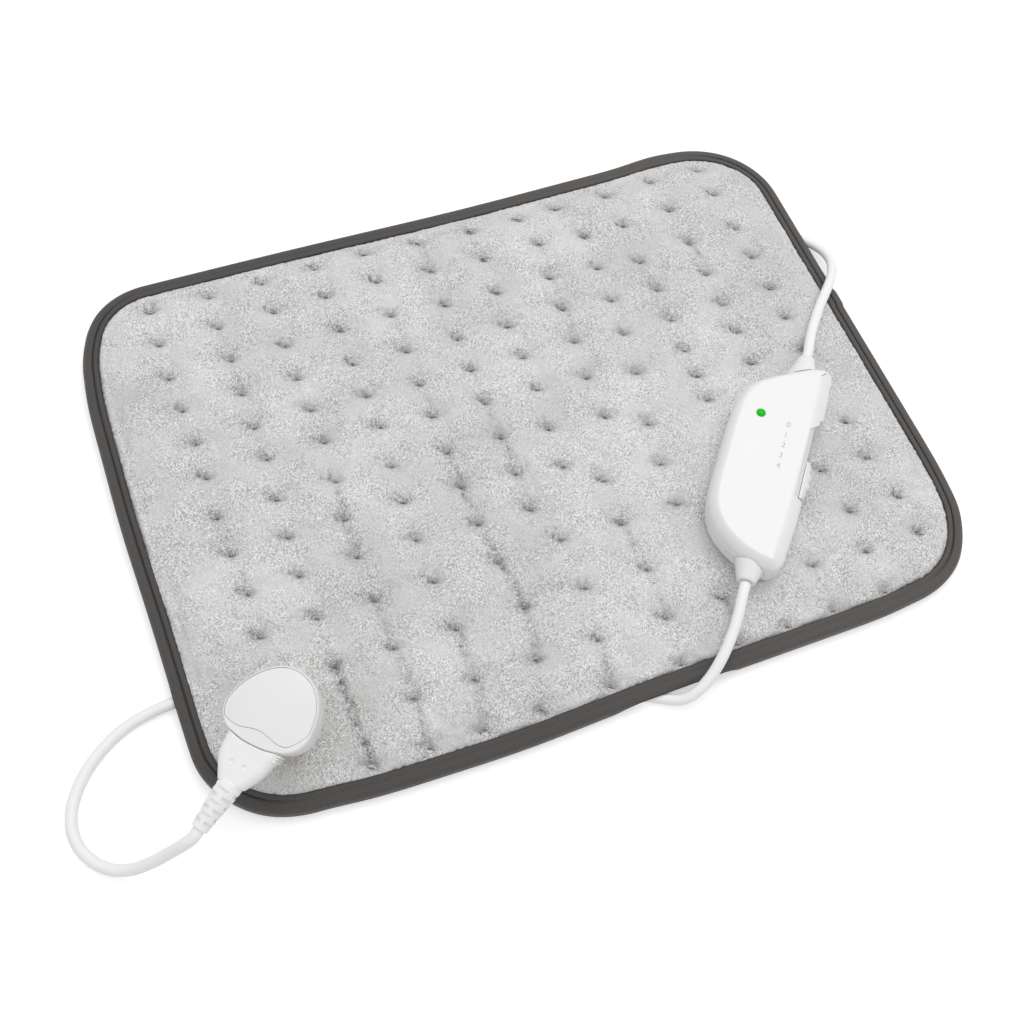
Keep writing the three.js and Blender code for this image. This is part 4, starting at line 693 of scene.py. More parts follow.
def make_stage(stage):
    deselect()
    bpy.ops.mesh.primitive_plane_add(size=6.0, location=(0, 0, 0))
    floor = named("studio_floor")
    material = bpy.data.materials.new("studio_floor_finish")
    material.use_nodes = True
    tree = material.node_tree
    shader = tree.nodes["Principled BSDF"]
    shader.inputs["Base Color"].default_value = shaded(stage.floor, 0.9)
    shader.inputs["Roughness"].default_value = 0.9
    shader.inputs["Specular IOR Level"].default_value = 0.0
    white = node(tree, "Emission", {"Color": (1, 1, 1, 1), "Strength": FLOOR_GLOW})
    both = node(tree, "AddShader", {0: shader.outputs[0], 1: white.outputs[0]})
    chosen = node(tree, "MixShader", {0: seen_directly(tree), 1: shader.outputs[0], 2: both.outputs[0]})
    tree.links.new(chosen.outputs[0], tree.nodes["Material Output"].inputs["Surface"])
    floor.data.materials.append(material)
    world = bpy.data.worlds.new("studio")
    bpy.context.scene.world = world
    world.use_nodes = True
    tree = world.node_tree
    light = tree.nodes["Background"]
    light.inputs["Color"].default_value = (1, 1, 1, 1)
    rising = node(tree, "SeparateXYZ", {0: node(tree, "TexCoord").outputs["Generated"]}).outputs[2]
    tree.links.new(between(tree, rising, 0.0, 1.0, stage.sky_low, stage.sky_top), light.inputs["Strength"])
    white = node(tree, "Background", {"Color": (1, 1, 1, 1), "Strength": 1.0})
    chosen = node(tree, "MixShader", {0: seen_directly(tree), 1: light.outputs[0], 2: white.outputs[0]})
    tree.links.new(chosen.outputs[0], tree.nodes["World Output"].inputs["Surface"])
    make_lamp("key_lamp", stage.key, KEY_WIDTH, KEY_PLACE, (0, 0, 0))
    bpy.context.scene.view_settings.view_transform = "Standard"


# ---------------------------------------------------------------- cords

def make_cord(name, route, diameter):
    curve = bpy.data.curves.new(name, "CURVE")
    curve.dimensions = "3D"
    spline = curve.splines.new("BEZIER")
    spline.bezier_points.add(len(route) - 1)
    for point, place in zip(spline.bezier_points, route):
        point.co = place
        point.handle_left_type = point.handle_right_type = "AUTO"
    curve.bevel_depth = diameter / 2
    curve.bevel_resolution = 6
    curve.resolution_u = 8
    curve.use_fill_caps = True
    cord = bpy.data.objects.new(name, curve)
    bpy.context.scene.collection.objects.link(cord)
    return cord


def make_cords(cords):
    finish_piece(make_cord("mains_cord", MAINS_ROUTE, cords.diameter), "pad_and_controls", "white_cord", "mains_lead")
    finish_piece(make_cord("pad_cord", PAD_ROUTE, cords.diameter), "pad_and_controls", "white_cord", "pad_lead")


# ---------------------------------------------------------------- pad

# The tufts' grid, in millimetres, and how far the whole grid is moved.
TUFT_SHIFT = (-0.8, 1.0)
TUFT_COLUMNS = [-155, -125.5, -97, -67, -38, -9.5, 19, 48.5, 76.5, 103, 133.5, 163]
TUFT_ROWS = [132, 110.5, 88, 67, 46, 26, 3.5, -17.5, -39.5, -62.5, -88, -113.5, -137]
# Where the sewing wanders: column, row, and how far that tuft is from its place, in millimetres.
TUFT_DRIFT = [
    (0, 1, -1.5, -3.7), (0, 2, -1.9, -2.5), (0, 4, 0.5, -1.2), (0, 8, 1.5, -1.5), (1, 0, 1, -2), (1, 2, 1, -1),
    (1, 7, -1.7, -1.5), (1, 8, -2.8, -0.5), (2, 1, 1.5, -1.5), (2, 5, 2, 0), (2, 8, -2.4, 0), (3, 8, -3.2, -0.6),
    (3, 9, -2.7, -1.1), (4, 1, -0.6, 1.5), (4, 7, -1.5, -2), (4, 8, -0.9, -2.2), (4, 12, -7, -2), (5, 4, -0.7, -2.8),
    (5, 6, -1, -3.1), (5, 8, -2, -3.1), (5, 9, 6, -0.4), (5, 10, 7, -2.4), (5, 11, 2.4, -3.4), (6, 1, 2.2, -2),
    (6, 3, -1.3, -4.2), (6, 5, -1.3, -4.8), (6, 6, -4.3, -6.1), (6, 7, -5.9, -8.2), (6, 8, 10.4, 0.2),
    (6, 9, 8.7, -1.9), (6, 10, 10.7, -3.5), (6, 11, 8.6, -4), (7, 1, 5.8, -1.4), (7, 2, 2.6, -2), (7, 3, 1.4, -2.6),
    (7, 4, -0.7, -3.3), (7, 5, -3.3, -6.4), (7, 6, -3.6, -9), (7, 8, 12.1, -0.4), (7, 9, 10.7, -1), (7, 10, 13, -4.5),
    (8, 0, -3.5, -1.5), (8, 1, 3.7, -5), (8, 2, 2.2, -4.5), (8, 3, 0.9, -5.8), (8, 4, -1.2, -6.9), (8, 5, -4.7, -12),
    (8, 7, -11.9, 1.4), (8, 8, 16, 0), (8, 9, 14, -1), (9, 0, 0.5, -2), (9, 2, 0, -7.8), (9, 3, 1, -7), (9, 4, 0, -6.7),
    (9, 5, -1.4, -7), (9, 6, -1.5, -1), (9, 7, -2.5, 4.8), (9, 11, 5.7, -3.2), (10, 0, -0.7, -0.5), (10, 2, 1, -4),
    (10, 3, 1, -5.5), (10, 4, 0.9, -6), (10, 5, 0.5, -5), (10, 10, 7, -7.9), (10, 11, 4, -5.2), (10, 12, 4.2, -3.3),
    (11, 1, 0, 0.5), (11, 3, 1.3, -3), (11, 4, 1.5, -4.7), (11, 8, 1.1, -9.2), (11, 9, 0.8, -8.9), (11, 10, 6.2, -9),
    (11, 11, 6.7, -6),
]
TUFT_GAPS = {(7, 7), (8, 6), (11, 12)}
# Creases that link the tufts of a column: column, first and last row, and depth against the deepest.
CREASES = [
    (0, 6, 8, 0.5), (1, 1, 3, 0.35), (1, 4, 5, 0.3), (1, 10, 12, 1.0), (2, 6, 8, 0.7), (2, 9, 12, 0.55),
    (3, 10, 12, 0.7), (4, 2, 3, 0.35), (4, 4, 5, 0.3), (4, 6, 9, 0.85), (4, 9, 11, 0.8), (5, 0, 1, 0.4),
    (5, 4, 8, 0.5), (5, 11, 12, 0.6), (6, 9, 11, 0.4), (7, 1, 4, 0.3), (7, 11, 12, 0.6), (9, 2, 3, 0.4),
    (10, 2, 3, 0.4),
]
CREASE_STEP = 0.0005
# The fleece and the backing end this far in from the pad's outline, under the tape.
COVER_RIM = 0.0086
# The fleece is pressed to this height below the controller and the plug.
PRESSED_HEIGHT = 0.01415
# What of the fleece is below them: the plug's middle and reach, and half the controller's length and width.
PLUG_SHADOW = (-0.158, -0.108, 0.034)
CONTROLLER_SHADOW = (0.066, 0.029)
NAP_EDGE = 0.0084
# How near the mains lead the fabric starts to rise, how near it is fully raised, and how high.
TENT_REACH, TENT_FULL, TENT_HEIGHT = 0.0145, 0.0040, 0.0059
# How far the fleece's edge is tucked below its drawn height, over which width, and how deep a tuft dents the backing.
TUCK, TUCK_WIDTH, BACK_DENT = 0.0009, 0.0019, 0.0009
# A tuft's dent, and the small stretch of it that is held while the fabric swells: half length and half width.
DENT, STITCHED = (0.0058, 0.0042), (0.0030, 0.0013)
# Where the junction block lifts the fleece's underside, how far round it, and by how much.
JUNCTION, JUNCTION_REACH, JUNCTION_LIFT = Vector((0.1746, 0.0941, 0)), 0.03, 0.0028
# The small scallops at the tape start this far in from the pad's outline.
SCALLOPED = 0.0115
# How far the simulated fabric may move from its drawn shape: sideways, down and up.
SWELL_SIDE, SWELL_DOWN, SWELL_UP, SWELL_FRAMES = 0.0012, 0.0010, 0.0016, 20


def tuft_turn(rank):
    """How far a tuft's stitch lies turned from the pad's length."""
    return -0.45 + 0.35 * noise.noise(Vector((rank * 1.7, 4.0, 0)))


def tuft_spots():
    """Where the tufts are, in metres, by column and row; a drift fades with the distance from its tuft."""
    spots = {}
    for row, y in enumerate(TUFT_ROWS):
        for column, x in enumerate(TUFT_COLUMNS):
            total, move_x, move_y = 0.02, 0.0, 0.0
            for at_column, at_row, drift_x, drift_y in TUFT_DRIFT:
                weight = ((column - at_column) ** 2 + (row - at_row) ** 2 + 0.02) ** -2
                total += weight
                move_x += weight * drift_x
                move_y += weight * drift_y
            spot = ((x + TUFT_SHIFT[0] + move_x / total) * MM, (y + TUFT_SHIFT[1] + move_y / total) * MM)
            if (column, row) not in TUFT_GAPS and not under_something(*spot):
                spots[column, row] = spot
    return spots


def pad_depth(pad, x, y):
    """How far inside the pad's outline a point lies."""
    out_x = abs(x) - (pad.length / 2 - pad.corner)
    out_y = abs(y) - (pad.width / 2 - pad.corner)
    outside = math.hypot(max(out_x, 0), max(out_y, 0)) + min(max(out_x, out_y), 0)
    return pad.corner - outside


def rounded_place(pad, rim, k, across, side, share):
    """A point on the k-th ring in from the rim: side 0 is +y, 1 is +x, 2 is -y and 3 is -x."""
    step_x, step_y = across
    half_x, half_y = pad.length / 2 - rim - k * step_x, pad.width / 2 - rim - k * step_y
    radius = max(pad.corner - rim - k * (step_x + step_y) / 2, 0.0)
    half_run = (half_x if side in (0, 2) else half_y) - radius
    depth = (half_y if side in (0, 2) else half_x)
    arc = math.pi / 4 * radius
    reach = share * (half_run + arc)
    if abs(reach) <= half_run or radius == 0:
        along, out = reach, depth
    else:
        turn = (abs(reach) - half_run) / radius
        along = math.copysign(half_run + radius * math.sin(turn), reach)
        out = depth - radius + radius * math.cos(turn)
    return {0: (along, out), 1: (out, along), 2: (along, -out), 3: (-out, along)}[side]


def sheet_places(pad, rim, step):
    """Grid places that follow the rounded outline near the rim and are square in the middle."""
    columns = round((pad.length / 2 - rim) / step)
    rows = round((pad.width / 2 - rim) / step)
    across = ((pad.length / 2 - rim) / columns, (pad.width / 2 - rim) / rows)
    places = []
    for t in range(-rows, rows + 1):
        for s in range(-columns, columns + 1):
            ring_x, ring_y = columns - abs(s), rows - abs(t)
            k = min(ring_x, ring_y)
            if ring_y <= ring_x:
                side = 0 if t > 0 else 2
                share = s / (columns - k) if columns > k else 0
            else:
                side = 1 if s > 0 else 3
                share = t / (rows - k) if rows > k else 0
            if k == rows:
                places.append((s * across[0], t * across[1]))
            else:
                places.append(rounded_place(pad, rim, k, across, side, share))
    return places, 2 * columns, 2 * rows


def crown_height(pad, x, y):
    reach = limited((pad_depth(pad, x, y) - pad.tape_width) / pad.crown_run)
    return pad.edge + (pad.crown - pad.edge) * math.sin(reach * math.pi / 2)


def make_sheet(name, pad, rim, step, height_at):
    """A grid primitive laid over the pad's outline, at the given heights."""
    places, columns, rows = sheet_places(pad, rim, step)
    deselect()
    bpy.ops.mesh.primitive_grid_add(x_subdivisions=columns, y_subdivisions=rows, size=2.0)
    sheet = named(name)
    order = sorted(range(len(places)), key=lambda i: (
        round(sheet.data.vertices[i].co.y, 5), round(sheet.data.vertices[i].co.x, 5)))
    for slot, index in enumerate(order):
        x, y = places[slot]
        sheet.data.vertices[index].co = (x, y, height_at(x, y))
    return sheet


def fabric_settle(sheet, pins, pressure):
    """Lets the fabric swell and wrinkle between its pinned points."""
    held = sheet.vertex_groups.new(name="held")
    for index, weight in pins.items():
        held.add([index], weight, "REPLACE")
    pick(sheet)
    bpy.ops.object.modifier_add(type="CLOTH")
    soft = sheet.modifiers[-1]
    settings = soft.settings
    settings.quality = 6
    settings.mass = 0.3
    settings.tension_stiffness = settings.compression_stiffness = 15
    settings.shear_stiffness = 8
    settings.bending_stiffness = 0.4
    settings.use_pressure = True
    settings.uniform_pressure_force = pressure
    settings.vertex_group_mass = "held"
    settings.pin_stiffness = 1.0
    settings.shrink_min = settings.shrink_max = -0.025
    settings.effector_weights.gravity = 0
    soft.collision_settings.use_collision = False
    scene = bpy.context.scene
    soft.point_cache.frame_start, soft.point_cache.frame_end = 1, SWELL_FRAMES
    for step in range(1, SWELL_FRAMES + 1):
        scene.frame_set(step)
    bpy.ops.object.modifier_apply(modifier=soft.name)
    scene.frame_set(1)
    sheet.vertex_groups.clear()


def rim_loop(sheet):
    """The boundary's vertices in order round the sheet."""
    mesh = bmesh.new()
    mesh.from_mesh(sheet.data)
    start = next(edge for edge in mesh.edges if edge.is_boundary)
    loop, vert, edge = [start.verts[0].index], start.verts[1], start
    while vert.index != loop[0]:
        loop.append(vert.index)
        edge = next(e for e in vert.link_edges if e.is_boundary and e != edge)
        vert = edge.other_vert(vert)
    mesh.free()
    return loop


def drawn_in(pad, place, depth, height):
    """The point straight in from the outline at a given depth."""
    x, y = place.x, place.y
    half_x, half_y = pad.length / 2 - pad.corner, pad.width / 2 - pad.corner
    core_x, core_y = limited(x, -half_x, half_x), limited(y, -half_y, half_y)
    away = Vector((x - core_x, y - core_y, 0))
    radius = pad.corner - depth
    if away.length < 1e-9:
        return Vector((x, y, height))
    spot = Vector((core_x, core_y, 0)) + away.normalized() * max(radius, 0.0)
    if radius < 0:
        spot.x -= math.copysign(-radius, core_x) if abs(away.x) > 1e-6 else 0
        spot.y -= math.copysign(-radius, core_y) if abs(away.y) > 1e-6 else 0
    spot.z = height
    return spot


def close_sheet(sheet, pad, rings):
    """Extrudes the sheet's rim through rings of (depth, height) and closes the last one."""
    loop = rim_loop(sheet)
    pick(sheet)
    bpy.ops.object.mode_set(mode="EDIT")
    bpy.ops.mesh.select_mode(type="VERT")
    bpy.ops.mesh.select_all(action="DESELECT")
    mesh = bmesh.from_edit_mesh(sheet.data)
    mesh.verts.ensure_lookup_table()
    places = []
    for index in loop:
        mesh.verts[index].select = True
        places.append(mesh.verts[index].co.copy())
    mesh.select_flush(True)
    for edge in mesh.edges:
        edge.select = edge.is_boundary
    bmesh.update_edit_mesh(sheet.data)
    bpy.ops.mesh.select_mode(type="EDGE")
    for rank, (depth, height) in enumerate(rings):
        ring = [drawn_in(pad, place, depth, height(place) if callable(height) else height) for place in places]
        loop = extrude_to(sheet, loop, ring, edges_only=rank == 0)
    bpy.ops.mesh.edge_face_add()
    bpy.ops.mesh.select_all(action="SELECT")
    bpy.ops.mesh.normals_make_consistent(inside=False)
    deselect()


def to_route(x, y, route):
    """Shortest distance in plan from a point to a route."""
    best = 1.0
    for (ax, ay, _), (bx, by, _) in zip(route, route[1:]):
        dx, dy = bx - ax, by - ay
        share = limited(((x - ax) * dx + (y - ay) * dy) / (dx * dx + dy * dy))
        best = min(best, math.hypot(x - ax - share * dx, y - ay - share * dy))
    return best


def tented(x, y):
    """How high the fabric is held where the mains lead passes beneath it."""
    share = limited((TENT_REACH - to_route(x, y, MAINS_ROUTE)) / (TENT_REACH - TENT_FULL))
    return TENT_HEIGHT * share * share * (3 - 2 * share)


# Where the controller and the plug's head lie, as turned and tilted in the photo.
CONTROLLER_PLACE = Matrix.Translation((0.1043, -0.0611, 0.0143)) @ Matrix.Rotation(math.radians(51), 4, "Z")
PLUG_PLACE = (Matrix.Translation((-0.1628, -0.1128, 0.05135)) @ Matrix.Rotation(math.radians(43), 4, "Z")
              @ Matrix.Rotation(math.radians(-13.89), 4, "Y"))


def under_something(x, y):
    """True below the controller or the plug, where the fleece is pressed flat."""
    local = CONTROLLER_PLACE.inverted() @ Vector((x, y, CONTROLLER_PLACE.translation.z))
    if abs(local.x) < CONTROLLER_SHADOW[0] and abs(local.y) < CONTROLLER_SHADOW[1]:
        return True
    middle_x, middle_y, radius = PLUG_SHADOW
    return math.hypot(x - middle_x, y - middle_y) < radius


# How far the tape bulges where the pad lead enters.
ENTRY_BUMP = 0.0004
# Pulls on the bound edge: where, how far the fabric moves, and how far round it is felt, in millimetres.
PULLS = [
    (-195, 118, 3.6, -1.0, 24), (-160, -148, 0.8, 3.2, 26), (-188, -132, 1.6, 1.6, 24), (190, -124, -3.4, 2.0, 26),
    (165, -147, -0.6, 2.6, 24), (-60, -150, 0, -1.8, 45), (20, 149, 0, -1.5, 70), (-200, 15, -1.0, 0, 40),
    (140, 150, 0.8, 2.0, 18),
]


def settle(piece):
    """Draws the pad's fabric into the uneven outline that it has after sewing."""
    for vert in piece.data.vertices:
        move = Vector((0, 0, 0))
        for x, y, move_x, move_y, reach in PULLS:
            away = ((vert.co.x / MM - x) ** 2 + (vert.co.y / MM - y) ** 2) / reach ** 2
            if away < 9:
                move += Vector((move_x, move_y, 0)) * math.exp(-away) * MM
        vert.co += move


def make_top_cover(pad, spots):
    """The fleece: crowned, sunk at every tuft, swollen by a cloth simulation, then given its pile, its holes and
    creases, and their painted shade.
    """

    def height_at(x, y):
        share = limited((pad_depth(pad, x, y) - COVER_RIM) / TUCK_WIDTH)
        high = crown_height(pad, x, y) - TUCK * (1 - share * share * (3 - 2 * share))
        for spot_x, spot_y in spots.values():
            dx, dy = x - spot_x, y - spot_y
            if abs(dx) < 0.014 and abs(dy) < 0.011:
                fade = limited((pad_depth(pad, spot_x, spot_y) - 0.004) / 0.012)
                high -= pad.tuft_depth * fade * bell(dx, DENT[0], dy, DENT[1])
        return high

    cover = make_sheet("pad_fleece", pad, COVER_RIM, pad.mesh_step, height_at)
    rest = [vert.co.copy() for vert in cover.data.vertices]
    pins = {}
    for index, place in enumerate(rest):
        if pad_depth(pad, place.x, place.y) < COVER_RIM + 0.0006:
            pins[index] = 1.0
        elif any(abs(place.x - x) < STITCHED[0] and abs(place.y - y) < STITCHED[1] for x, y in spots.values()):
            pins[index] = 1.0
        elif under_something(place.x, place.y):
            pins[index] = 0.9
    fabric_settle(cover, pins, 4.0)
    for vert, old in zip(cover.data.vertices, rest):
        move = vert.co - old
        vert.co = old + Vector((limited(move.x, -SWELL_SIDE, SWELL_SIDE), limited(move.y, -SWELL_SIDE, SWELL_SIDE),
                                limited(move.z, -SWELL_DOWN, SWELL_UP)))
    apply(cover, "SUBSURF", levels=1, render_levels=1, subdivision_type="CATMULL_CLARK",
          boundary_smooth="PRESERVE_CORNERS")
    raise_pile(cover, pad)
    sink_tufts(cover, pad, spots)

    def under(place):
        away = (Vector((place.x, place.y, 0)) - JUNCTION).length
        return 0.0066 + JUNCTION_LIFT * max(0.0, 1 - away / JUNCTION_REACH)

    close_sheet(cover, pad, [(0.0088, 0.0075), (0.0076, 0.0069), (0.0076, 0.0065), (0.014, under), (0.021, under),
                             (0.031, 0.0088), (0.042, 0.0088)])
    settle(cover)
    smooth(cover, 60)
    finish_piece(cover, "pad_and_controls", "fleece", "pad_top_cover")
    return cover


def raise_pile(cover, pad):
    """Raises the pile in clumps that lean here and there, with small scallops along the tape."""
    half_x, half_y = pad.length / 2 - pad.corner, pad.width / 2 - pad.corner
    for vert in cover.data.vertices:
        place = vert.co
        leans_along = waver(place.x, place.y, 60, 3.1) > 0
        along, cross = (place.x, place.y * 2.0) if leans_along else (place.x * 2.0, place.y)
        clumps = 0.6 * waver(along, cross, 260, 7.7) + 0.5 * waver(place.x, place.y, 620, 2.2)
        depth = pad_depth(pad, place.x, place.y)
        vert.co.z += pad.nap * limited((depth - NAP_EDGE) / 0.002, 0.25) * clumps
        if under_something(place.x, place.y):
            vert.co.z = min(vert.co.z, PRESSED_HEIGHT)
        if depth < SCALLOPED:
            core = Vector((limited(place.x, -half_x, half_x), limited(place.y, -half_y, half_y), place.z))
            scallop = 0.00055 * waver(place.x, place.y, 480, 11.0) + 0.0004 * waver(place.x, place.y, 60, 5.0)
            vert.co += (place - core).normalized() * scallop * (SCALLOPED - depth) / 0.0029


def frayed(place, middle, swing, seed):
    """How ragged a dark mark is at a place."""
    return max(0.0, middle + swing * waver(place.x, place.y, 420, seed))


def sink_tufts(cover, pad, spots):
    """Pulls narrow holes and creases into the fine mesh, and notes how much painted shade each point gets."""
    verts = cover.data.vertices
    finder = kdtree.KDTree(len(verts))
    for vert in verts:
        finder.insert((vert.co.x, vert.co.y, 0), vert.index)
    finder.balance()
    drop, sunken = [0.0] * len(verts), [0.0] * len(verts)
    for rank, (x, y) in enumerate(spots.values()):
        fade = limited((pad_depth(pad, x, y) - 0.006) / 0.006, 0.3)
        turn = tuft_turn(rank)
        for place, index, _ in finder.find_range((x, y, 0), 0.012):
            dx = (place.x - x) * math.cos(turn) + (place.y - y) * math.sin(turn)
            dy = (place.y - y) * math.cos(turn) - (place.x - x) * math.sin(turn)
            hole = bell(dx, 0.0028, dy, 0.0011)
            tail = bell(dx + 0.0034, 0.0030, dy, 0.0015)
            fold = bell(math.hypot(dx * 0.6, dy) - 0.0032, 0.0011)
            halo = bell(dx + 0.0020, 0.0060, dy - 0.0004, 0.0036)
            fuzz = frayed(place, 0.75, 1.6, 9.0)
            drop[index] += fade * (0.0014 * hole + 0.0006 * tail - 0.0003 * fold)
            # Painted shade: darkest in each hole, ragged along its tail, and a wider painted shadow to one side of the
            # tuft.
            sunken[index] = max(sunken[index], fade * max(0.9 * hole, 0.62 * tail * fuzz, 0.40 * halo * fuzz))
    # A ragged darker patch just beside the corner tuft.
    dark_patch_x, dark_patch_y = spots[0, 0]
    dark_patch_y += 0.002
    for place, index, _ in finder.find_range((dark_patch_x, dark_patch_y, 0), 0.012):
        away = math.hypot(place.x - dark_patch_x, place.y - dark_patch_y)
        sunken[index] = max(sunken[index], 0.5 * frayed(place, 0.8, 1.4, 3.0) * bell(away, 0.0058))
    for rank, (column, first, last, depth) in enumerate(CREASES):
        line = [spots[column, row] for row in range(first, last + 1) if (column, row) in spots]
        nearest = {}
        for (ax, ay), (bx, by) in zip(line, line[1:]):
            length = math.hypot(bx - ax, by - ay)
            for step in range(int(length / CREASE_STEP) + 1):
                share = step * CREASE_STEP / length
                x, y = ax + (bx - ax) * share, ay + (by - ay) * share
                x += 0.0016 * noise.noise(Vector((y * 90, rank * 2.9, 1.0)))
                strong = depth * (0.75 + 0.8 * waver(x, y, 120, rank * 1.3))
                for _, index, distance in finder.find_range((x, y, 0), 0.0048):
                    if distance < nearest.get(index, (1.0, 0))[0]:
                        nearest[index] = (distance, strong)
        for index, (distance, strong) in nearest.items():
            drop[index] += pad.crease_depth * strong * bell(distance, 0.0017)
            # Painted shade along the crease, ragged.
            fuzz = frayed(verts[index].co, 0.8, 1.4, 6.0)
            sunken[index] = max(sunken[index], 0.75 * strong * fuzz * bell(distance, 0.0023))
    for vert in verts:
        vert.co.z -= drop[vert.index]
    mark = cover.data.attributes.new("sunken", "FLOAT", "POINT")
    mark.data.foreach_set("value", [limited(value) for value in sunken])


def make_bottom_cover(pad, spots):
    """The backing: dimpled below the tufts, and raised over the mains lead."""

    def height_at(x, y):
        dip = BACK_DENT * bell(min(math.hypot(x - a, y - b) for a, b in spots.values()), 0.004)
        tucked = 0.0004 * limited((COVER_RIM + 0.002 - pad_depth(pad, x, y)) / 0.002)
        return max(dip, tented(x, y), tucked)

    def above(least, rise):
        return lambda place: max(least, place.z + rise)

    cover = make_sheet("pad_backing", pad, COVER_RIM, 0.004, height_at)
    apply(cover, "SUBSURF", levels=1, render_levels=1, boundary_smooth="PRESERVE_CORNERS")
    flip(cover)
    close_sheet(cover, pad, [
        (0.0088, above(0.0011, 0.0002)), (0.0078, above(0.0018, 0.0003)), (0.0078, above(0.0022, 0.0004)),
        (0.014, 0.0061), (0.030, 0.0061)])
    settle(cover)
    smooth(cover, 60)
    finish_piece(cover, "pad_and_controls", "backing", "pad_bottom_cover")


def outline_ring(pad, depth, count, height):
    """Evenly spaced points along the pad's outline, drawn in by a depth, with their ways round and the whole way."""
    half, radius = (pad.length / 2 - depth, pad.width / 2 - depth), pad.corner - depth
    base_x, base_y = 2 * (pad.length / 2 - pad.corner), 2 * (pad.width / 2 - pad.corner)
    base_arc = math.pi / 2 * pad.corner
    total = 2 * (base_x + base_y) + 4 * base_arc
    legs = [base_y, base_arc, base_x, base_arc] * 2
    ring = []
    for step in range(count):
        reach, leg = total * step / count, 0
        while reach > legs[leg]:
            reach -= legs[leg]
            leg += 1
        side, share = leg // 2, reach / legs[leg]
        out, run = half[side % 2], half[1 - side % 2] - radius
        if leg % 2:
            turn = share * math.pi / 2
            x, y = out - radius + radius * math.cos(turn), run + radius * math.sin(turn)
        else:
            x, y = out, -run + 2 * run * share
        for _ in range(side):
            x, y = -y, x
        ring.append((Vector((x, y, height)), total * step / count))
    return ring, total


def side_share(place):
    """1 along the pad's short sides, where the tape is drawn into a groove, and little along the long ones."""
    return limited((abs(place.x) - 0.155) / 0.03, 0.12)


def make_edge_tape(pad):
    """The tape's section laid along the pad's outline and lifted over the mains lead, with its weave and painted shade
    in its groove and along its edges.
    """
    width, high, round_ = pad.tape_width, pad.tape_height, pad.tape_round
    arc = [(round_ - round_ * math.cos(math.radians(turn)), round_ - round_ * math.sin(math.radians(turn)))
           for turn in range(0, 91, 15)]
    lower = arc[::-1]
    upper = [(depth, high - height) for depth, height in arc]
    groove = [(0.56, 0.0001), (0.60, 0.0007), (0.64, 0.0007), (0.68, 0.0001)]
    profile = lower + upper + [(width * 0.5, high)] + [(width * share, high - drop) for share, drop in groove] + [
        (width * 0.76, high + 0.0001), (width * 0.9, high + 0.0001), (width * 0.97, high - 0.0002),
        (width, high - 0.0006), (width - 0.0004, high - 0.0013), (0.0022, high - 0.0016), (0.0014, high / 2),
        (0.0022, 0.0016), (width - 0.0006, 0.0013), (width, 0.0006), (width * 0.93, 0.0001), (width * 0.6, 0.0)]
    groove_start = len(lower + upper) + 1
    groove_end = groove_start + len(groove)
    # How much painted shade each ring of the section gets: under the outer edge, in the groove and along the inner
    # edge.
    dark = dict(enumerate((0.25, 0.8, 0.8, 0.2, 0.0, 0.0, 0.5, 1.0, 1.0), groove_start))
    dark.update(dict.fromkeys(range(len(lower)), 0.45))
    dark.update({len(lower): 0.3, len(lower) + 1: 0.12})
    count = 640
    rings, reach = [], [0.0]
    for (d0, z0), (d1, z1) in zip(profile, profile[1:] + profile[:1]):
        reach.append(reach[-1] + math.hypot(d1 - d0, z1 - z0))
    for rank, (depth, height) in enumerate(profile):
        ring, _ = outline_ring(pad, depth, count, height)
        for place, _ in ring:
            lift = tented(place.x, place.y)
            if groove_start <= rank < groove_end and height < high:
                place.z += (high - height) * (1 - side_share(place))
            if lift > 0 and place.z < lift and place.z < high / 2 + 0.002:
                place.z = min(lift + place.z * 0.15, high - 0.0012)
            if 0.022 < place.y < 0.033 and place.x > 0 and depth < width * 0.9:
                place.x += ENTRY_BUMP
                if height > high / 2:
                    place.z += ENTRY_BUMP
        rings.append([place for place, _ in ring])
    tape = ring_body("edge_tape", rings, loop=True)
    weave = tape.data.uv_layers.new(name="Weave")
    flat, total = outline_ring(pad, 0.003, count, 0.0)

    def key(place):
        return tuple(round(c, 6) for c in place)

    found_at = {key(place): (slot, rank) for rank, ring in enumerate(rings) for slot, place in enumerate(ring)}
    mark = tape.data.attributes.new("sunken", "FLOAT", "POINT")
    for vert in tape.data.vertices:
        rank = found_at[key(vert.co)][1]
        value = dark.get(rank, 0.0) * (side_share(vert.co) if groove_start <= rank < groove_end else 1)
        # More painted shade towards the pad's left end.
        shaded_side = 0.30 * limited((0.1 - vert.co.x) / 0.15)
        mark.data[vert.index].value = value * (1 - shaded_side) + shaded_side
    ribs = round(total / RIB_PITCH) * RIB_PITCH
    for face in tape.data.polygons:
        found = [found_at[key(tape.data.vertices[v].co)] for v in face.vertices]
        slots, ranks = zip(*found)
        wraps = max(slots) - min(slots) > count / 2
        turns = max(ranks) - min(ranks) > len(profile) / 2
        for corner, (slot, rank) in zip(face.loop_indices, found):
            along = flat[slot][1] * ribs / total + (ribs if wraps and slot < count / 2 else 0)
            weave.data[corner].uv = (along, reach[-1] if turns and rank == 0 else reach[rank])
    settle(tape)
    smooth(tape, 50)
    finish_piece(tape, "pad_and_controls", "binding", "pad_edge_binding")


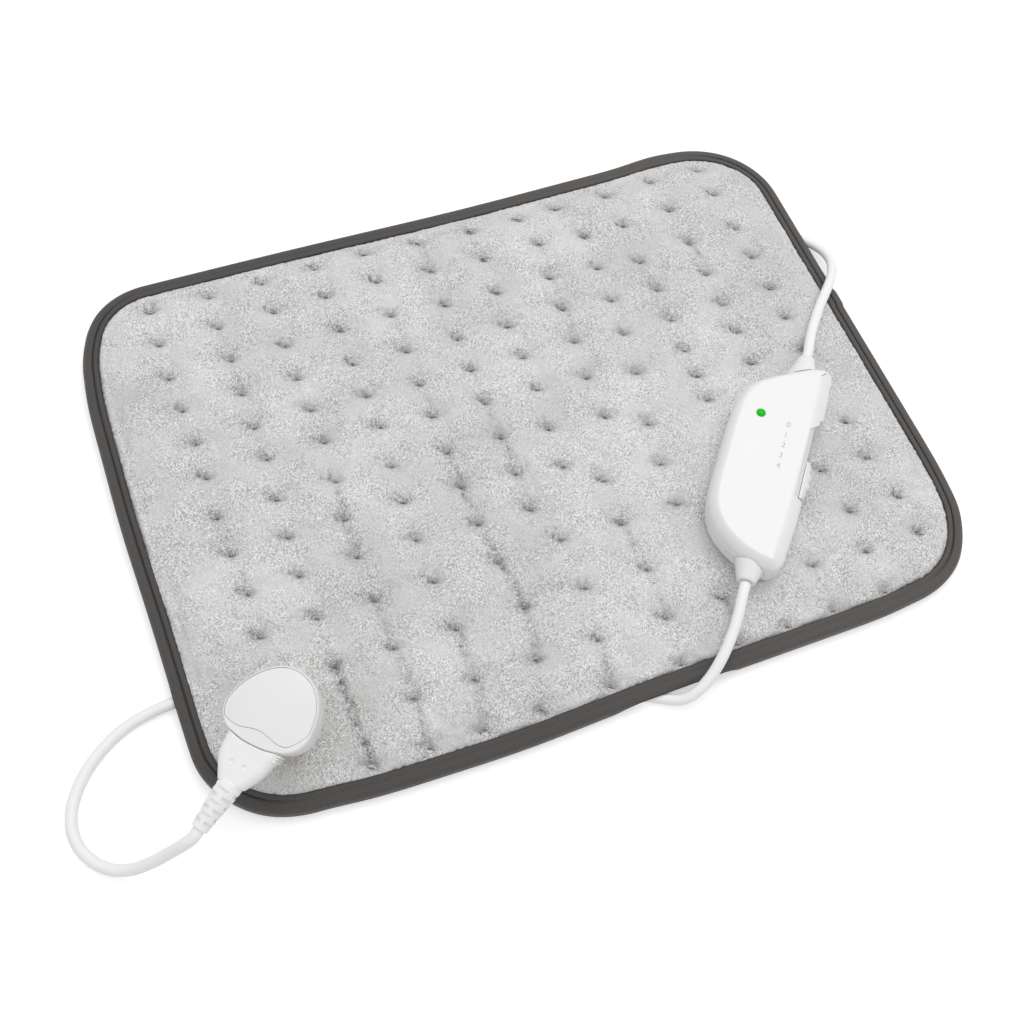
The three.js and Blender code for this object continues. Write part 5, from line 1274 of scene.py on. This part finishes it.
def make_tuft_stitches(cover, spots):
    """A short bar tack at each tuft, sunk into the fleece, modelled once and copied; its grey is partly painted shade
    for the dark dash in the dimple.
    """
    half_length, girth_radius = 0.0016, 0.00036
    stations = [(-1, 0.15, -0.0010), (-0.8, 0.7, -0.0003), (-0.35, 1, 0), (0.35, 1, 0), (0.8, 0.7, -0.0003),
                (1, 0.15, -0.0010)]
    first = ring_body("tuft_stitch", [disc(girth_radius * girth, 6, half_length * along, 0, drop, "x")
                                      for along, girth, drop in stations])
    copies = []
    for rank, (x, y) in enumerate(spots.values()):
        hit, place, _, _ = cover.ray_cast(Vector((x, y, 0.04)), Vector((0, 0, -1)))
        if not hit:
            continue
        tack = first.copy()
        tack.data = first.data.copy()
        bpy.context.scene.collection.objects.link(tack)
        turn = tuft_turn(rank)
        tack.data.transform(Matrix.Translation((x, y, place.z + 0.0002)) @ Matrix.Rotation(turn, 4, "Z"))
        copies.append(tack)
    bpy.data.objects.remove(first)
    one_of(copies)
    stitches = named("tuft_stitches")
    smooth(stitches, 60)
    finish_piece(stitches, "pad_and_controls", "fleece", material=bpy.data.materials["thread_finish"])


# ---------------------------------------------------------------- controller

def controller_outline(sizes):
    return closed_curve([(u * sizes.length, v * sizes.width) for u, v in CONTROLLER_OUTLINE], 200)


def case_rings(outline, profile, floor, height, edge, inward=0.0, lift=0.0, slope=0.0):
    return [inset(outline, share * edge + inward, floor + rise * height + lift, share * slope)
            for share, rise in profile]


# The shells' sections from bottom to top: shares of the inset and of the height.
BOTTOM_PROFILE = [(1, 0), (0.72, 0.03), (0.5, 0.1), (0.3, 0.2), (0.14, 0.32), (0.05, 0.5), (0, 1)]
TOP_PROFILE = [(0, 0), (0, 0.46), (0.015, 0.52), (0.06, 0.585), (0.15, 0.66), (0.32, 0.765), (0.52, 0.865),
               (0.72, 0.94), (0.88, 0.983), (1.0, 1.0), (1.12, 1.0)]
SCREWS = [(-0.0363, 0.0138), (0.0399, 0.0083), (0.0305, -0.0138)]
# The cord bushes: which end, where the ring and the mouth are, and how far off the middle.
BUSHES = {"mains": (-1, 0.051, 0.0675, -0.0056), "pad": (1, 0.0495, 0.0685, -0.0076)}
CORD_AXIS, BORE = 0.00915, 0.0052
# The holes at each screw post: radius, from, to and sides, in the bottom shell and in the top shell.
SCREW_HOLES = ([(0.0017, -0.001, 0.02, 20), (0.0032, -0.001, 0.0035, 24)], [(0.0017, 0.0, 0.0148, 20)])
LENS_SPOT = (0.0207, 0.0091)
# The slot that the knob's stem runs in: its size and its middle.
STEM_SLOT = ((0.0306, 0.006, 0.003), (0.0071, -0.0185, 0.0101))
SHELL_GAP = 0.0003
KNOB_REST = -0.0053
FIRST_DIGIT, DIGIT_STEP, DIGIT_LINE = 0.0186, 0.0062, -0.0055


def recess_tool(grow, floor):
    """What is cut from both shells for the knob: straight at its height, scooped above it, its floor falling away."""
    low, wall, out = -0.0197 - grow, -0.01912 + grow, -0.04

    def plan(middle, high, inner, outer):
        return [(low, inner), (middle, inner), (high + grow, outer), (high + grow, out), (low, out)]

    straight, scooped = plan(0.0250, 0.0295, wall, wall), plan(0.0200, 0.0259, wall + 0.0031, wall - 0.0037)
    falling = [Vector((u, v, floor + 2.0 * (v - wall))) for u, v in straight]
    return ring_body("recess", [falling] + [[Vector((u, v, height)) for u, v in points] for points, height in (
        (straight, 0.0156), (scooped, 0.0204), (scooped, 0.03))])


def mirrored(piece, side):
    """The same closed piece for the other end, with its faces turned back outwards."""
    if side > 0:
        return piece
    piece.data.transform(Matrix.Diagonal((-1, 1, 1, 1)))
    flip(piece)
    return piece


def make_shell(name, sizes, top, node_name):
    """One shell of the case: its outside less a cavity that keeps the screw posts and the recess wall."""
    outline = controller_outline(sizes)
    edge, wall = sizes.inset, sizes.wall
    floor = sizes.parting + SHELL_GAP if top else 0.0
    height = sizes.height - floor if top else sizes.parting
    profile = TOP_PROFILE if top else BOTTOM_PROFILE
    slope = sizes.slider_inset - edge if top else 0.0
    shell = ring_body(name, case_rings(outline, profile, floor, height, edge, slope=slope))
    inner = case_rings(outline, profile[:-1] if top else profile, floor, height, edge, wall, -wall if top else wall,
                       slope)
    mouth = [point + Vector((0, 0, -0.003 if top else 0.003)) for point in inner[0 if top else -1]]
    cavity = ring_body("cavity", [mouth, *inner] if top else [*inner, mouth])
    carve(cavity, recess_tool(0.0016, -0.01 if top else 0.0026))
    for u, v in SCREWS:
        carve(cavity, post(0.0036, -0.01, 0.03, u, v, 22))
    carve(shell, cavity)
    for u, v in SCREWS:
        for radius, low, high, sides in SCREW_HOLES[top]:
            carve(shell, post(radius, low, high, u, v, sides))
    carve(shell, recess_tool(0.0, 0.0042))
    carve(shell, block(*STEM_SLOT))
    if top:
        carve(shell, post(0.0024, 0.015, 0.025, *LENS_SPOT))
    for side, ring_u, _, v in BUSHES.values():
        carve(shell, mirrored(turned_along_x("bore", [(ring_u, BORE), (ring_u + 0.03, BORE)], v, CORD_AXIS, 32), side))
    if not shell.data.vertices:
        raise RuntimeError(f"the cuts emptied {name}")
    seat(shell, CONTROLLER_PLACE, 28, "pad_and_controls", "white_case", node_name)


def make_knob(sizes):
    """The slide knob: a bowed, ribbed face that draws in towards its top, and the stem that goes into the case."""
    ahead, behind, crest, inner, shoulder = 0.0096, -0.0122, -0.02452, -0.01942, -0.02202
    face = [(behind, inner), (ahead, inner), (ahead, shoulder)]
    steps = 80
    for step in range(1, steps):
        along = ahead + step / steps * (behind - ahead)
        bow = math.sin(step / steps * math.pi)
        wave = 0.5 - 0.5 * math.cos(step / steps * 4 * 2 * math.pi)
        face.append((along, shoulder + (crest - shoulder) * bow + sizes.rib * bow ** 0.5 * (1 - wave)))
    face.append((behind, shoulder))
    outline = evenly([Vector((KNOB_REST + u, v, 0)) for u, v in face], 220)
    low, soft = 0.0048, 0.0006
    rings = [inset(outline, depth, height) for depth, height in (
        (soft, low), (soft * 0.3, low + soft * 0.3), (0, low + soft))]
    for height, out, along in ((0.0112, 1.0, 1.0), (0.0129, 0.97, 0.996), (0.0142, 0.88, 0.99),
                               (0.0150, 0.72, 0.98), (0.0154, 0.46, 0.965)):
        rings.append([Vector((KNOB_REST + (point.x - KNOB_REST) * along, inner + (point.y - inner) * out, height))
                      for point in outline])
    knob = ring_body("slide_knob_cap", rings)
    carve(knob, block((0.005, 0.0063, 0.0024), (KNOB_REST, -0.01657, 0.0101)), "UNION")
    seat(knob, CONTROLLER_PLACE, 40, "slider", "knob", "slide_knob")


def make_lens():
    dome = [(0.0021, 0.0132), (0.0021, 0.02002), (0.0024, 0.02006), (0.00236, 0.0203), (0.0020, 0.0207),
            (0.0013, 0.0210), (0.0004, 0.0211)]
    lens = ring_body("lens_dome", [disc(radius, 32, *LENS_SPOT, height) for radius, height in dome])
    carve(lens, post(0.003, 0.0169, 0.0177, *LENS_SPOT), "UNION")
    seat(lens, CONTROLLER_PLACE, 50, "pad_and_controls", "lens", "indicator_lens")


def make_digits(sizes):
    """Numerals 0 to 4 beside the slider, a quarter turned, as thin print."""
    for rank in range(5):
        deselect()
        bpy.ops.object.text_add()
        text = bpy.context.object
        text.data.body = str(rank)
        text.data.size = sizes.digits * 1.35
        text.data.align_x, text.data.align_y = "CENTER", "CENTER"
        text.data.extrude = 0.00002
        bpy.ops.object.convert(target="MESH")
        digit = named(f"digit_{rank}")
        place = Matrix.Translation((FIRST_DIGIT - rank * DIGIT_STEP, DIGIT_LINE, sizes.height + 0.00003))
        digit.data.transform(CONTROLLER_PLACE @ place @ Matrix.Rotation(math.radians(-90), 4, "Z"))
        finish_piece(digit, "pad_and_controls", "white_case", material=bpy.data.materials["digits_finish"])


def make_bush(name, sizes, key, node_name):
    """A tapered cord bush, cut to the case's end, with a ring inside it."""
    side, ring_u, mouth_u, v = BUSHES[key]
    profile = [(0.0505, 0.0090), (0.0550, 0.0085), (0.0580, 0.0077), (0.0608, 0.0067), (0.0637, 0.0057),
               (mouth_u - 0.0012, 0.00475), (mouth_u - 0.0004, 0.0046), (mouth_u, 0.0042)]
    bush = mirrored(turned_along_x(name, profile, v, CORD_AXIS), side)
    outline = controller_outline(sizes)
    whole = case_rings(outline, BOTTOM_PROFILE, 0, sizes.parting, sizes.inset, -0.0002, -0.0002)
    whole += case_rings(outline, TOP_PROFILE, sizes.parting + SHELL_GAP, sizes.height - sizes.parting - SHELL_GAP,
                        sizes.inset, -0.0002, 0.0002, sizes.slider_inset - sizes.inset)
    carve(bush, ring_body("case", whole))
    for low, high, radius in ((ring_u, mouth_u - 0.003, 0.0042), (ring_u, ring_u + 0.002, 0.0062)):
        carve(bush, turned_along_x("neck", [(side * low, radius), (side * high, radius)], v, CORD_AXIS), "UNION")
    seat(bush, CONTROLLER_PLACE, 40, "pad_and_controls", "white_case", node_name)


# ---------------------------------------------------------------- plug

# Places along the plug, from the head's cord side outwards, and the cable plug's axis and corners.
HEAD_START, NECK_START, NECK_END = -0.0155, -0.0173, -0.0334
CABLE_AXIS, CABLE_MIDDLE, CABLE_CORNER = -0.007, 0.0005, 0.0036
# The flat pins in the plug's base: along, across, thickness and width.
PINS = [(-0.008, 0.0111, 0.00395, 0.00635), (-0.008, -0.0111, 0.00395, 0.00635), (0.0142, 0, 0.00792, 0.00395)]
PIN_ROOM = 0.0006
LID_SCREWS = [(0.01008, -0.0082), (0.01008, 0.0082)]
# The fuse drawer's opening: its size and its middle.
DRAWER_MOUTH = ((0.01014, 0.0286, 0.012), (0.00211, 0, -0.018))


def head_outline(sizes):
    return closed_curve([(HEAD_START + along * sizes.length, across * sizes.width / 2)
                         for along, across in PLUG_OUTLINE], 180)


def head_rings(sizes):
    profile = [(0.0009, -1.0), (0.00075, -0.985), (0.00045, -0.95), (0.0003, -0.84), (0.00011, -0.6), (0, -0.53),
               (0, -0.11), (0.0001, -0.075), (0.00024, -0.05), (0.0004, -0.033), (0.00058, -0.019), (0.00072, -0.009),
               (0.00086, 0.0)]
    return [inset(head_outline(sizes), depth, rise * sizes.height) for depth, rise in profile]


def seam_along(sizes, across):
    """How far along the plug the lid's seam runs, waving across it and turned up at one end."""
    turned_up = max(0.0, (-across - 0.012) / 0.006)
    return -0.0098 + 0.0009 * math.cos(across / sizes.width * 4 * math.pi) + 0.005 * turned_up ** 2


def seam_block(sizes, lid_side, room, floor, roof):
    """A prism on one side of the lid's wavy seam."""
    edge = []
    for step in range(41):
        across = (2 * step / 40 - 1) * (sizes.width / 2 + 0.002)
        edge.append(Vector((seam_along(sizes, across) + room, across, 0)))
    far = (1 if lid_side else -1) * 0.04
    outline = edge + [Vector((far, edge[-1].y, 0)), Vector((far, edge[0].y, 0))]
    return ring_body("seam", [[Vector((p.x, p.y, height)) for p in outline] for height in (floor, roof)])


def head_cavity(sizes, top):
    outline = head_outline(sizes)
    return ring_body("cavity", [inset(outline, depth, height) for depth, height in (
        (0.0009 + sizes.wall, sizes.wall - sizes.height), (sizes.wall, sizes.wall - 0.010), (sizes.wall, top))])


def make_plug_lid(sizes):
    """A plate inside the body's rim, on its own side of the wavy seam."""
    outline = head_outline(sizes)
    lid = ring_body("plug_lid_cover", [inset(outline, sizes.rim + depth, height) for depth, height in (
        (0, -sizes.lid), (0, -0.0004), (0.00012, -0.00012), (0.0004, 0.0))])
    carve(lid, seam_block(sizes, True, 0.00007, -sizes.lid - 0.001, 0.002), "INTERSECT")
    carve(lid, ring_body("cavity", [inset(outline, sizes.rim + 0.0016, height)
                                    for height in (-sizes.lid - 0.002, -sizes.wall)]))
    seat(lid, PLUG_PLACE, 30, "pad_and_controls", "white_case", "plug_lid")


def make_plug_base(sizes):
    """The head: its outside less the lid's pocket, the cavity, and openings for cable, fuse drawer, pins and screws."""
    base = ring_body("plug_body", head_rings(sizes))
    pocket = ring_body("pocket", [inset(head_outline(sizes), sizes.rim - 0.00012, height)
                                  for height in (-sizes.lid - 0.0003, 0.002)])
    carve(pocket, seam_block(sizes, True, -0.00007, -sizes.lid - 0.001, 0.003), "INTERSECT")
    carve(base, pocket)
    carve(base, seam_block(sizes, False, 0.002, -0.0003, 0.002))
    carve(base, head_cavity(sizes, -0.0024))
    carve(base, block((sizes.length / 2, 0.0244, 0.0100), (HEAD_START, CABLE_MIDDLE, CABLE_AXIS)))
    carve(base, block(*DRAWER_MOUTH))
    for a, b, thick, wide in PINS:
        carve(base, block((thick + PIN_ROOM, wide + PIN_ROOM, 0.008), (a, b, -0.018)))
    for a, b in LID_SCREWS:
        carve(base, post(0.0025, -0.02, -0.0158, a, b, 24))
        carve(base, post(0.0014, -0.02, -0.01, a, b, 24))
    seat(base, PLUG_PLACE, 30, "pad_and_controls", "white_case", "plug_base")


def flat_ring(along, width, height, middle):
    """A rounded oblong section across the plug's cord."""
    corner = min(CABLE_CORNER, width / 2 - 1e-5, height / 2 - 1e-5)
    ring = []
    for quarter in range(4):
        centre_y = (width / 2 - corner) * (1 if quarter in (0, 3) else -1)
        centre_z = (height / 2 - corner) * (1 if quarter in (0, 1) else -1)
        for step in range(13):
            turn = math.pi / 2 * (quarter + step / 12)
            ring.append(Vector((along, middle + centre_y + corner * math.cos(turn),
                                CABLE_AXIS + centre_z + corner * math.sin(turn))))
    return ring


def make_cable_plug(sizes):
    """The fan-shaped plug on the mains lead: its neck, the tongue that goes into the head, two dimples, three ribs."""
    neck = [(0.03, 0.94, 1.18, 0.05), (0.1, 0.93, 1.15, 0.3), (0.2, 0.915, 1.11, 0.5), (0.3, 0.89, 1.08, 0.58),
            (0.4, 0.865, 1.05, 0.65), (0.5, 0.82, 1.02, 0.7), (0.62, 0.75, 0.99, 0.75), (0.72, 0.68, 0.96, 0.8),
            (0.83, 0.6, 0.93, 0.85), (0.92, 0.54, 0.9, 0.93), (1, 0.485, 0.87, 1)]
    rings = [flat_ring(-0.0110, 0.0244, 0.0130, CABLE_MIDDLE), flat_ring(NECK_START, 0.0240, 0.0128, CABLE_MIDDLE)]
    for along, width, height, move in neck:
        place = NECK_START - 0.00005 + (NECK_END - NECK_START) * along
        rings.append(flat_ring(place, width * 0.025, height * 0.0106, CABLE_MIDDLE + 0.0011 * move))
    body = ring_body("cable_plug_moulding", rings)
    outline = head_outline(sizes)
    carve(body, ring_body("head", [inset(outline, -0.00012, height) for height in (-0.02, 0.01)]))
    carve(body, ring_body("tongue", [flat_ring(along, 0.0238, 0.0094, CABLE_MIDDLE)
                                     for along in (-0.0094, -0.0168)]), "UNION")
    for a, b in ((-0.0248, 0.0047), (-0.0249, -0.0012)):
        deselect()
        bpy.ops.mesh.primitive_uv_sphere_add(segments=24, ring_count=12, radius=0.0011)
        dimple = named("dimple")
        dimple.data.transform(Matrix.Translation((a, b, CABLE_AXIS + 0.0056)))
        carve(body, dimple)
    for rank in range(3):
        rib = block((0.0006, 0.0016, 0.0104), (-0.0149 - 0.0012 * rank, -0.0118 + 0.0003 * rank, CABLE_AXIS))
        carve(body, rib, "UNION")
    seat(body, PLUG_PLACE, 32, "pad_and_controls", "white_cord", "cable_plug")


def make_relief():
    """The tapered strain relief, with staggered slots round it."""
    length, start, end = 0.0226, 0.0056, 0.0037
    body = turned_along_x("plug_relief_sleeve", [
        (0.0, start * 0.96), (0.0004, start), (0.004, start * 0.97), (length * 0.55, (start + end) / 2),
        (length * 0.92, end * 1.04), (length * 0.985, end), (length, end * 0.9)], 0, 0, 48)
    pockets = []
    for rank in range(6):
        along = 0.0040 + rank * 0.0030
        radius = start + (end - start) * along / length
        for hand in range(4):
            pocket = block((0.0015, radius * 1.05, 0.0022), (along, 0, radius))
            pocket.data.transform(Matrix.Rotation(math.radians(90 * hand + 45 * (rank % 2)), 4, "X"))
            pockets.append(pocket)
    carve(body, one_of(pockets))
    turn = Matrix.Rotation(math.radians(180 - 8.2), 4, "Z")
    place = PLUG_PLACE @ Matrix.Translation((NECK_END + 0.0007, 0.0016, CABLE_AXIS)) @ turn
    seat(body, place, 35, "pad_and_controls", "white_cord", "plug_strain_relief")


# ---------------------------------------------------------------- operators

class HEATINGPAD_OT_stage(bpy.types.Operator):
    """Camera, pale floor, studio lamps and sky"""
    bl_idname = "heating_pad.stage"
    bl_label = "Stage"

    def execute(self, context):
        make_camera(context.scene.pad_stage)
        make_stage(context.scene.pad_stage)
        return {"FINISHED"}


class HEATINGPAD_OT_finishes(bpy.types.Operator):
    """Fabric, plastic and metal finishes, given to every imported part"""
    bl_idname = "heating_pad.finishes"
    bl_label = "Finishes"

    def execute(self, context):
        make_finishes(context.scene.pad_finishes)
        dress_nodes()
        return {"FINISHED"}


class HEATINGPAD_OT_cords(bpy.types.Operator):
    """Mains lead and pad lead on their routes"""
    bl_idname = "heating_pad.cords"
    bl_label = "Cords"

    def execute(self, context):
        make_cords(context.scene.pad_cords)
        return {"FINISHED"}


class HEATINGPAD_OT_covers(bpy.types.Operator):
    """Tufted fleece cover, its stitches and the backing"""
    bl_idname = "heating_pad.covers"
    bl_label = "Pad covers"

    def execute(self, context):
        pad = context.scene.pad_sizes
        spots = tuft_spots()
        cover = make_top_cover(pad, spots)
        make_tuft_stitches(cover, spots)
        make_bottom_cover(pad, spots)
        return {"FINISHED"}


class HEATINGPAD_OT_tape(bpy.types.Operator):
    """Ribbed tape that binds the pad's edge"""
    bl_idname = "heating_pad.tape"
    bl_label = "Edge tape"

    def execute(self, context):
        make_edge_tape(context.scene.pad_sizes)
        return {"FINISHED"}


class HEATINGPAD_OT_case(bpy.types.Operator):
    """Controller shells, cord bushes, lens and numerals"""
    bl_idname = "heating_pad.case"
    bl_label = "Controller case"

    def execute(self, context):
        sizes = context.scene.pad_controller
        make_shell("case_lower", sizes, False, "controller_bottom_shell")
        make_shell("case_upper", sizes, True, "controller_top_shell")
        make_bush("mains_bush", sizes, "mains", "controller_mains_bush")
        make_bush("pad_bush", sizes, "pad", "controller_lead_bush")
        make_lens()
        make_digits(sizes)
        return {"FINISHED"}


class HEATINGPAD_OT_knob(bpy.types.Operator):
    """Ribbed slide knob"""
    bl_idname = "heating_pad.knob"
    bl_label = "Slide knob"

    def execute(self, context):
        make_knob(context.scene.pad_controller)
        return {"FINISHED"}


class HEATINGPAD_OT_plug(bpy.types.Operator):
    """Plug head, its lid, the cable plug in it and the strain relief"""
    bl_idname = "heating_pad.plug"
    bl_label = "Plug"

    def execute(self, context):
        sizes = context.scene.pad_plug
        make_plug_base(sizes)
        make_plug_lid(sizes)
        make_cable_plug(sizes)
        make_relief()
        return {"FINISHED"}


class HEATINGPAD_OT_declare(bpy.types.Operator):
    """Gathers the pieces on the mains lead's plug end, and does nothing further with them"""
    bl_idname = "heating_pad.declare"
    bl_label = "Declare cords"

    def execute(self, context):
        shown = bpy.data.objects
        on_cord = [shown[name] for name in ("plug_body", "plug_lid_cover", "cable_plug_moulding",
                                            "plug_relief_sleeve")]
        on_cord += [frame["nodes"][name] for name in (
            "plug_live_pin", "plug_neutral_pin", "plug_earth_pin", "fuse_carrier", "plug_fuse",
            "cable_plug_left_pin", "cable_plug_right_pin", "left_contact_clip", "right_contact_clip",
            "lid_screw_left", "lid_screw_right")]
        return {"FINISHED"}


STEPS = (HEATINGPAD_OT_stage, HEATINGPAD_OT_finishes, HEATINGPAD_OT_cords, HEATINGPAD_OT_covers,
         HEATINGPAD_OT_tape, HEATINGPAD_OT_case, HEATINGPAD_OT_knob, HEATINGPAD_OT_plug, HEATINGPAD_OT_declare)
GROUPS = {"pad_sizes": PadSizes, "pad_controller": ControllerSizes, "pad_plug": PlugSizes, "pad_cords": CordSizes,
          "pad_finishes": Finishes, "pad_stage": StageSettings}


class HEATINGPAD_PT_build(bpy.types.Panel):
    """Sizes, colours and build steps of the heating pad"""
    bl_idname = "HEATINGPAD_PT_build"
    bl_label = "Heating Pad"
    bl_space_type = "VIEW_3D"
    bl_region_type = "UI"
    bl_category = "Heating Pad"

    def draw(self, context):
        for title in GROUPS:
            settings = getattr(context.scene, title)
            box = self.layout.box()
            box.label(text=title.replace("_", " ").capitalize())
            for prop in settings.bl_rna.properties:
                if prop.identifier not in ("rna_type", "name"):
                    box.prop(settings, prop.identifier)
        for step in STEPS:
            self.layout.operator(step.bl_idname)


def register():
    for kind in (*GROUPS.values(), *STEPS, HEATINGPAD_PT_build):
        bpy.utils.register_class(kind)
    for title, kind in GROUPS.items():
        setattr(bpy.types.Scene, title, bpy.props.PointerProperty(type=kind))


def unregister():
    for title in GROUPS:
        delattr(bpy.types.Scene, title)
    for kind in reversed((*GROUPS.values(), *STEPS, HEATINGPAD_PT_build)):
        bpy.utils.unregister_class(kind)


def main():
    register()
    for step in STEPS:
        part, name = step.bl_idname.split(".")
        getattr(getattr(bpy.ops, part), name)()
    bpy.context.view_layer.update()


if __name__ == "__main__":
    main()
